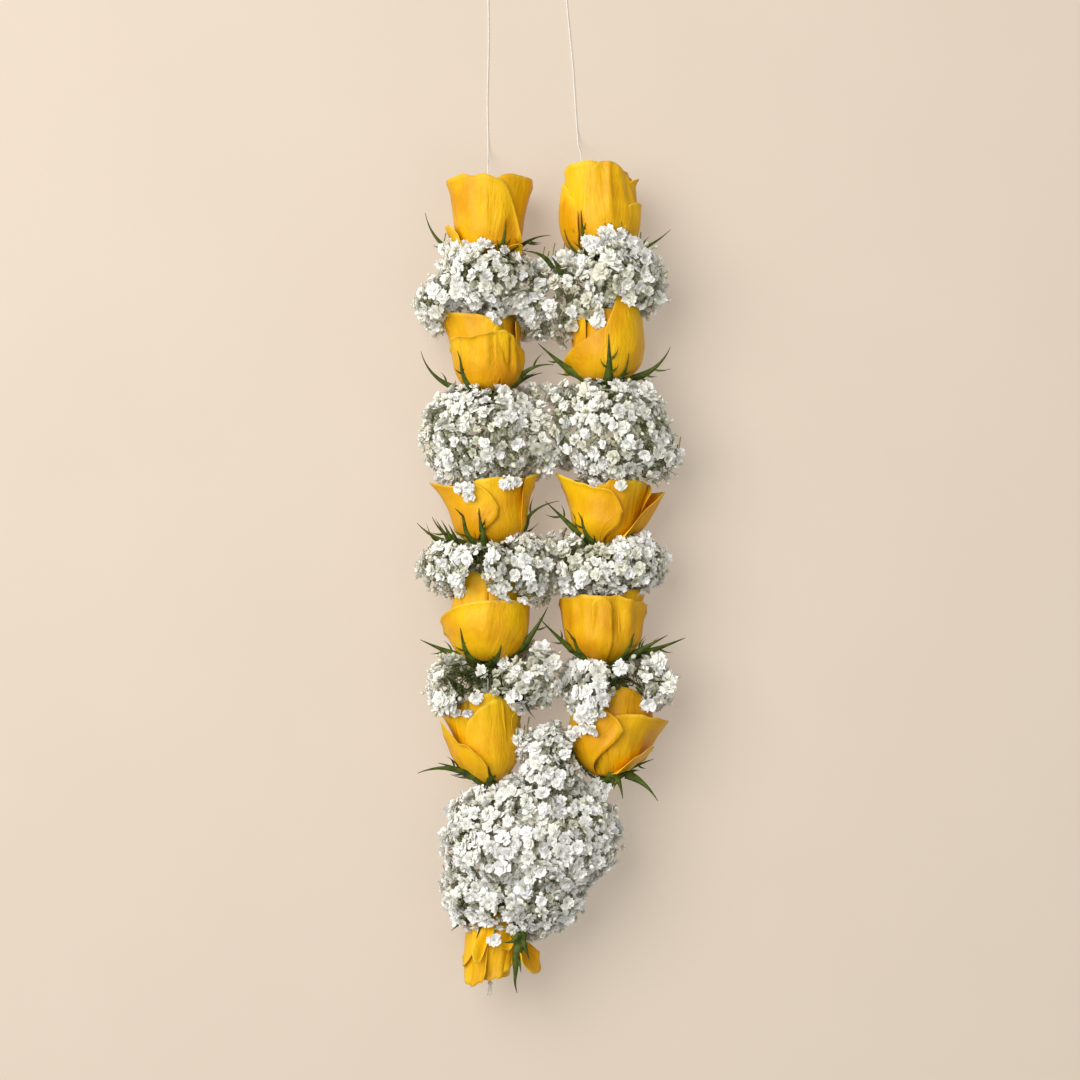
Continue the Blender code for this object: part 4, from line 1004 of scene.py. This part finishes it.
def make_calyx(name, tree, material):
    """The hip of a rose and its sepals, with the narrow teeth along their sides."""
    draw = random.Random(f"{SEED} sepals {name}")
    matrix = rose_matrix(name)
    rotation = np.array(matrix.to_3x3())
    shape = Shape()
    hip = turned(HIP_PROFILE, HIP_SIDES) * MM
    shape.add(place_points(matrix, hip), grid_faces(len(HIP_PROFILE), HIP_SIDES, closed=True)[:, ::-1], up=0.2)
    for azimuth, length, lean, curl, width in (*SEPALS[name], BACK_SEPAL)[:5]:
        turn = math.radians(azimuth)
        outward = np.array((math.cos(turn), math.sin(turn), 0.0))
        path = sepal_path(tree, name, Vector(outward), length * MM, lean, curl)
        # A sepal that leans out turns its flat side up as it leaves the petals.
        rolled = 0.8 * smooth(np.linspace(0, 1, len(path)), 0.2, 0.6)[:, None] * (lean != 0)
        outward = ((1 - rolled) * outward + rolled * np.array((1.0, 0.0, 0.0))) @ rotation.T
        places = place_points(matrix, path)
        tone = draw.random()
        side, half = add_blade(shape, places, width * MM, outward, tone)
        ahead = unit(np.gradient(places, axis=0))
        for place in draw.sample(LOBE_PLACES, 2 + (length > LONG_SEPAL)):
            hand = draw.choice((-1, 1))
            start = places[place] + side[place] * half[place] * hand * 0.8
            size = draw.uniform(*LOBE_LENGTH) * MM * length / 34
            add_lobe(shape, start, ahead[place], side[place] * hand, outward[place], size, tone)
    add_piece(f"sepals_{name}", shape.mesh("sepals"), material, "sepal", f"calyx_{name}")


def floret_template(draw, openness, whorls, rows):
    """A double floret facing +Z, of radius 1: points, triangles, and how far up each petal is."""
    points, faces, ups = [], [], []
    top = np.array(UP)
    for count, polar, reach, width in whorls:
        offset = draw.uniform(0, math.tau)
        for index in range(count):
            turn = offset + math.tau * (index + draw.uniform(-0.25, 0.25)) / count
            angle = math.radians(polar * openness + draw.uniform(-13, 13))
            size = reach * draw.uniform(0.82, 1.12)
            radial = np.array((math.cos(turn), math.sin(turn), 0.0))
            side = np.cross(top, radial)
            start = len(points)
            points.append(np.zeros(3))
            ups.append(0.0)
            twist = draw.uniform(-0.3, 0.3)
            curl = draw.uniform(10, 50)
            teeth = [draw.uniform(0.86, 1.14) for _ in range(3)]
            for up, share in rows:
                bend = angle + math.radians(-24 + curl * up)
                middle = (radial * math.sin(bend) + top * math.cos(bend)) * size * up
                lift = top * math.sin(bend) - radial * math.cos(bend)
                for across, tooth in zip((-1, 0, 1), teeth):
                    notch = tooth * (1.0 if across else 0.92) if up == 1.0 else 1.0
                    cup = 0.14 * across**2 + twist * across * up * 0.4
                    points.append(
                        middle * notch + side * across * width * share * size * 0.55 + lift * cup * size * 0.6
                    )
                    ups.append(up)
            faces += [(start, start + 1, start + 2), (start, start + 2, start + 3)]
            for row in range(start + 1, start + 1 + 3 * (len(rows) - 1), 3):
                for low in (row, row + 1):
                    faces += [(low, low + 3, low + 4), (low, low + 4, low + 1)]
    return np.array(points), np.array(faces), np.array(ups)


def bud_template():
    """A closed bud facing +Z, of radius 1, green at its foot."""
    points = turned(BUD_PROFILE, BUD_SIDES)
    ups = np.clip(0.1 + (points[:, 2] + 1.0) * 0.22, 0, 1)
    return points, grid_faces(len(BUD_PROFILE), BUD_SIDES, closed=True), ups


def swell_reaches(swells, origin, directions):
    """How far rays get before they leave the blended swells of a bunch."""
    total = np.zeros(len(directions))
    for swell in swells:
        middle, sizes = np.array(swell[:3]) * MM, np.array(swell[3:]) * MM
        start = (origin - middle) / sizes
        step = directions / sizes
        along_ray = step @ start
        square = (step**2).sum(axis=1)
        root = along_ray**2 - square * (start @ start - 1)
        reach = np.where(root > 0, (np.sqrt(np.maximum(root, 0)) - along_ray) / square, 0)
        total += np.maximum(reach, 0) ** SWELL_BLEND
    return total ** (1 / SWELL_BLEND)


def bunch_points(name, directions):
    swells = BUNCHES[name]
    origin = np.array(swells[0][:3]) * MM
    return origin + directions * swell_reaches(swells, origin, directions)[:, None]


def scatter(name, spacing, tries, seed):
    """Places on a bunch's surface, no two closer than the spacing, and which way each faces."""
    draw = np.random.default_rng([SEED, seed, sum(map(ord, name))])
    swells = np.array(BUNCHES[name])
    low = (swells[:, :3] - swells[:, 3:]).min(axis=0)
    high = (swells[:, :3] + swells[:, 3:]).max(axis=0)
    directions = unit(draw.normal(size=(tries, 3)) * (high - low))
    points = bunch_points(name, directions)
    # A surface normal from how the surface moves with the ray, weighted towards the ray.
    moves = [bunch_points(name, unit(directions + nudge)) - points for nudge in np.eye(3) * 1e-3]
    normals = np.cross(moves[0] - moves[2], moves[1] - moves[0])
    normals /= np.linalg.norm(normals, axis=1)[:, None] + 1e-12
    normals *= np.sign((normals * directions).sum(axis=1))[:, None]
    normals = unit(normals + 0.6 * directions)
    kept = []
    for index, point in enumerate(points):
        if not kept or np.min(((points[kept] - point) ** 2).sum(axis=1)) >= spacing**2:
            kept.append(index)
    return points[kept], normals[kept]


def clear_of_blooms(trees, point, margin):
    """Whether a point lies outside every bloom by a margin."""
    for name, tree in trees.items():
        local = rose_matrix(name).inverted() @ Vector(point)
        radius = math.hypot(local.x, local.y)
        if radius > BLOOM_RADIUS or not -BLOOM_BELOW < local.z < rose_height(name) + BLOOM_PAST:
            continue
        if local.z < 0 and radius < HIP_RADIUS:
            return False
        turn = math.atan2(local.y, local.x)
        outward = Vector((math.cos(turn), math.sin(turn), 0))
        reach = bloom_reach(tree, name, UP * max(local.z, 0.5 * MM), outward)
        if reach is not None and radius < reach + margin:
            return False
    return True


def pixel_scale(height):
    """Metres to a pixel of the photograph at a height above the surface."""
    return PIXEL * (CAMERA_PLACE[2] - height) / (CAMERA_PLACE[2] - STRAND_HEIGHT)


def photo_pixel(point):
    """Where the photograph's camera shows a point, in pixels."""
    scale = pixel_scale(point[2])
    x, y = (point[axis] - CAMERA_PLACE[axis] for axis in (0, 1))
    return MIDDLE_PIXEL[0] + x / scale, MIDDLE_PIXEL[1] - y / scale


def pixel_point(x, y, height):
    """The point at a height above the surface that the photograph shows at a pixel."""
    scale = pixel_scale(height)
    right, down = (x - MIDDLE_PIXEL[0]) * scale, (y - MIDDLE_PIXEL[1]) * scale
    return np.array((CAMERA_PLACE[0] + right, CAMERA_PLACE[1] - down, height))


def shows_rose(point):
    """Whether the photograph shows a rose where it would show a point."""
    x, y = photo_pixel(point)
    for outline in SHOWN_ROSES:
        inside = False
        for (ax, ay), (bx, by) in zip(outline, outline[1:] + outline[:1]):
            if (ay > y) != (by > y) and x < ax + (bx - ax) * (y - ay) / (by - ay):
                inside = not inside
        if inside:
            return True
    return False


def shows(point, draw):
    """Whether a floret may be seen at a point in front of the strands."""
    if point[2] < STRAND_HEIGHT:
        return True
    if shows_rose(point):
        return False
    x, y = photo_pixel(point)
    for middle_x, middle_y, half_x, half_y, share in THIN_PLACES:
        if math.hypot((x - middle_x) / half_x, (y - middle_y) / half_y) < 1 and draw.random() > share:
            return False
    return True


def allowed(name, point):
    """Whether a floret's place is on its own bunch's side of where bunches meet."""
    slack = 1.5 * MM
    side, _, level = name.partition("_")
    if not level:
        return point[1] < MEETING_Y + slack
    if level == "4" and point[1] < MEETING_Y - slack:
        return False
    edge = MEETING_X[level]
    return point[0] < edge + slack if side == "left" else point[0] > edge - slack


def add_floret(florets, sprigs, templates, middle, facing, size, tone, draw):
    """One floret, and the fine stem behind it."""
    florets.add_copy(draw.choice(templates), middle, facing, draw.uniform(0, math.tau), size, tone)
    foot = middle - facing * 0.3 * size
    stray = random_vector(draw)
    root = foot - facing * draw.uniform(5, 10) * MM + stray * 2.0 * MM
    add_tube(sprigs, np.array([foot, (foot + root) / 2 - facing * 0.8 * MM, root]), STEM_RADIUS, 3)


def tilted(normal, amount, draw):
    return unit(normal + random_vector(draw, amount))


def add_tangle(name, shape, draw):
    """Narrow leaves and stems that show where the photograph has few florets."""
    origin = np.array(BUNCHES[name][0][:3]) * MM
    for middle_x, middle_y, half_x, half_y, share in THIN_PLACES:
        x = (middle_x - ORIGIN_PIXEL[0]) * PIXEL
        y = (ORIGIN_PIXEL[1] - middle_y) * PIXEL
        if share > TANGLE_SHARE or not allowed(name, (x, y)) or abs(y - origin[1]) > TANGLE_REACH:
            continue
        for _ in range(half_x * half_y // 9):
            ray = unit(np.array((
                x + draw.uniform(-1, 1) * half_x * PIXEL - origin[0],
                y + draw.uniform(-1, 1) * half_y * PIXEL - origin[1], draw.uniform(16, 34) * MM,
            )))
            surface = bunch_points(name, ray[None, :])[0]
            if surface[2] < STRAND_HEIGHT:
                continue
            start = surface - ray * draw.uniform(5, 14) * MM
            heading = unit(np.array((draw.gauss(0, 1), draw.gauss(0, 1), draw.uniform(0.2, 0.9))))
            length = draw.uniform(7, 14) * MM
            bend = np.array((draw.gauss(0, 1), draw.gauss(0, 1), -0.4)) * 0.3
            t = np.linspace(0, 1, 9)[:, None]
            path = start + heading * length * t + bend * length * t**2
            if not any(shows_rose(point) for point in path):
                add_blade(shape, path, draw.uniform(1.0, 2.6) * MM, ray * 0.5 + UP, draw.random(), 5)


def make_bunch(name, trees, templates, bud, looks):
    """One bunch: florets over its whole surface, buds between them, stems and a dark heart."""
    draw = random.Random(f"{SEED} bunch {name}")
    near = {
        key: tree for key, tree in trees.items() if abs(ROSES[key][1] - BUNCHES[name][0][1]) < NEAR_ROSES
    }
    florets, sprigs, leaves = Shape(), Shape(), Shape()
    lumps = random.Random(f"{SEED} lumps {name}")
    waves = [(random_vector(lumps) * LUMP_FINENESS, lumps.uniform(0, math.tau)) for _ in range(5)]
    closeness, growth = FLORET_SIZES.get(name, (1.0, 1.0))
    tone = FLORET_TONES_AND_PAINTED_LIGHT.get(name, 0.42)
    tries = 12000 if name == "pendant" else 5500
    for layer, spacing in enumerate((FLORET_SPACING, DEEP_FLORET_SPACING)):
        for place, normal in zip(*scatter(name, spacing * closeness, tries, layer)):
            lump = sum(math.sin(place @ wave + phase) for wave, phase in waves) / 2.2
            if layer:
                rise = (draw.uniform(*DEEP_RISE) + DEEP_LIFT.get(name, 0.0)) * MM
            elif lump < -0.3 and draw.random() < HOLLOWS.get(name, 0.5):
                continue
            elif draw.random() < PROUD_SHARE:
                rise = draw.uniform(*PROUD_RISE) * MM
            else:
                rise = (draw.uniform(*FLORET_RISE) + 1.5 * lump) * MM
            inner = normal[0] * (1 if name.startswith("left") else -1) > 0.2
            rise -= SIDE_TRIM.get(name, (0.4, 0.4))[inner] * MM * (1 - abs(normal[2]))
            middle = place + normal * rise
            if not allowed(name, place) or middle[2] < LOWEST_FLORET or not shows(middle, draw):
                continue
            if not clear_of_blooms(near, middle, FLORET_MARGIN):
                continue
            size = FLORET_RADIUS * growth * draw.uniform(0.78, 1.16) * (1 + 0.06 * lump) * (0.8 if layer else 1)
            facing = tilted(normal, 0.46, draw)
            # Deep florets take low tones, painted shade for lying deep in the bunch; outer ones take tones from
            # the bunch's least tone up.
            shade = tone - 0.42 + 0.4 * draw.random() if layer else tone + (1 - tone) * draw.random()
            plain = 1 if layer or normal[2] < -0.25 else 0
            add_floret(florets, sprigs, templates[plain], middle, facing, size, shade, draw)
    for place, normal in zip(*scatter(name, FLORET_SPACING * 1.2, 2000, 2)):
        middle = place + normal * draw.uniform(-2.5, 1.2) * MM
        if not allowed(name, place) or middle[2] < LOWEST_BUD or draw.random() < 0.4:
            continue
        if not shows(middle, draw):
            continue
        if not clear_of_blooms(near, middle, BUD_MARGIN):
            continue
        facing = tilted(normal, 0.35, draw)
        size = BUD_RADIUS * draw.uniform(0.7, 1.3)
        florets.add_copy(bud, middle, facing, 0, size, draw.random())
        root = middle - (facing + normal) * 4 * MM
        add_tube(sprigs, np.array([middle - facing * size, (middle + root) / 2, root]), BUD_STEM_RADIUS, 3)
    add_tangle(name, leaves, draw)
    if leaves.count:
        add_piece(f"leaves_{name}", leaves.mesh("leaves"), looks["leaf"], "stem")
    add_piece(f"florets_{name}", florets.mesh("florets"), looks["floret"], "floret", f"bunch_{name}")
    add_piece(f"sprigs_{name}", sprigs.mesh("sprigs"), looks["sprig"], "stem")
    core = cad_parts[f"bunch_{name}"].data.copy()
    core.materials.clear()
    # A dark shell inside the bunch: its stems, and painted shade where the outer florets shade its depths.
    heart = add_piece(f"heart_{name}", core, looks["heart"], "stem", f"stems_{name}")
    relax = heart.modifiers.new("relax", "SMOOTH")
    relax.factor = 0.6
    relax.iterations = 6
    shrink = heart.modifiers.new("shrink", "DISPLACE")
    shrink.strength = -(THIN_HEART_DEPTH if name.endswith("4") else HEART_DEPTH)
    shrink.mid_level = 0.0


def make_strays(trees, templates, looks):
    """Leaves that stand out of the bunches, and florets that hang in front of the roses."""
    draw = random.Random(f"{SEED} strays")
    leaves, florets, sprigs = Shape(), Shape(), Shape()
    for route, width in LEAVES:
        path = smooth_route([pixel_point(x, y, height * MM) for x, y, height in route], 15)
        add_blade(leaves, path, width * MM, UP, draw.random())
    eye = Vector(CAMERA_PLACE)
    for middle_x, middle_y, half_x, half_y, count in HANGING:
        placed = []
        for _ in range(60 * count):
            x = middle_x + draw.uniform(-1, 1) * half_x
            y = middle_y + draw.uniform(-1, 1) * half_y
            if len(placed) < count and all(math.hypot(x - a, y - b) > HANGING_SPACING for a, b in placed):
                placed.append((x, y))
        for x, y in placed:
            ray = (Vector(pixel_point(x, y, STRAND_HEIGHT)) - eye).normalized()
            hits = [tree.ray_cast(eye, ray) for tree in trees.values()]
            hit = min((hit for hit in hits if hit[0] is not None), key=lambda each: each[3], default=None)
            if hit:
                middle = np.array(hit[0] - ray * 2.8 * MM)
            else:
                middle = pixel_point(x, y, STRAND_HEIGHT + 5 * MM)
            stem = middle + np.array([(0, 0, 0), (0.2, 3, -0.4), (0.6, 6, -1.5), (1.4, 10, -4.0)]) * MM
            add_tube(sprigs, stem, STEM_RADIUS, 4)
            facing = tilted(np.array((0.0, -0.3, 1.0)), 0.35, draw)
            florets.add_copy(
                draw.choice(templates[0]), middle, facing, draw.uniform(0, math.tau),
                FLORET_RADIUS * draw.uniform(0.75, 1.05), 0.5 + 0.5 * draw.random(),
            )
    add_piece("leaves_strays", leaves.mesh("leaves"), looks["sepal"], "stem")
    add_piece("florets_strays", florets.mesh("florets"), looks["floret"], "floret")
    add_piece("sprigs_strays", sprigs.mesh("sprigs"), looks["sprig"], "stem")


def main():
    add_camera()
    thread_look = thread_material()
    make_tails(thread_look)
    make_threads(thread_look)
    add_studio()
    petal_look = petal_material()
    looks = {
        "sepal": green_material("rose_sepal", 0.55, (0.028, 0.048, 0.005), (0.10, 0.14, 0.014)),
        "sprig": green_material("fine_stem", 0.6, (0.12, 0.16, 0.05), (0.26, 0.30, 0.12)),
        "leaf": green_material("shaded_leaf", 0.6, (0.018, 0.026, 0.006), (0.07, 0.085, 0.016)),
        "floret": floret_material(), "heart": heart_stems_and_shade_material(),
    }
    trees = {}
    for name in ROSES:
        mesh = make_rose(name, petal_look)
        trees[name] = BVHTree.FromPolygons(
            [vertex.co for vertex in mesh.vertices], [tuple(face.vertices) for face in mesh.polygons]
        )
        make_calyx(name, trees[name], looks["sepal"])
    draw = random.Random(SEED)
    templates = [
        [floret_template(draw, openness, whorls, rows) for openness in FLORET_OPENNESS]
        for whorls, rows in ((FLORET_WHORLS, FLORET_ROWS), (PLAIN_WHORLS, PLAIN_ROWS))
    ]
    bud = bud_template()
    for name in BUNCHES:
        make_bunch(name, trees, templates, bud, looks)
    make_strays(trees, templates, looks)


main()
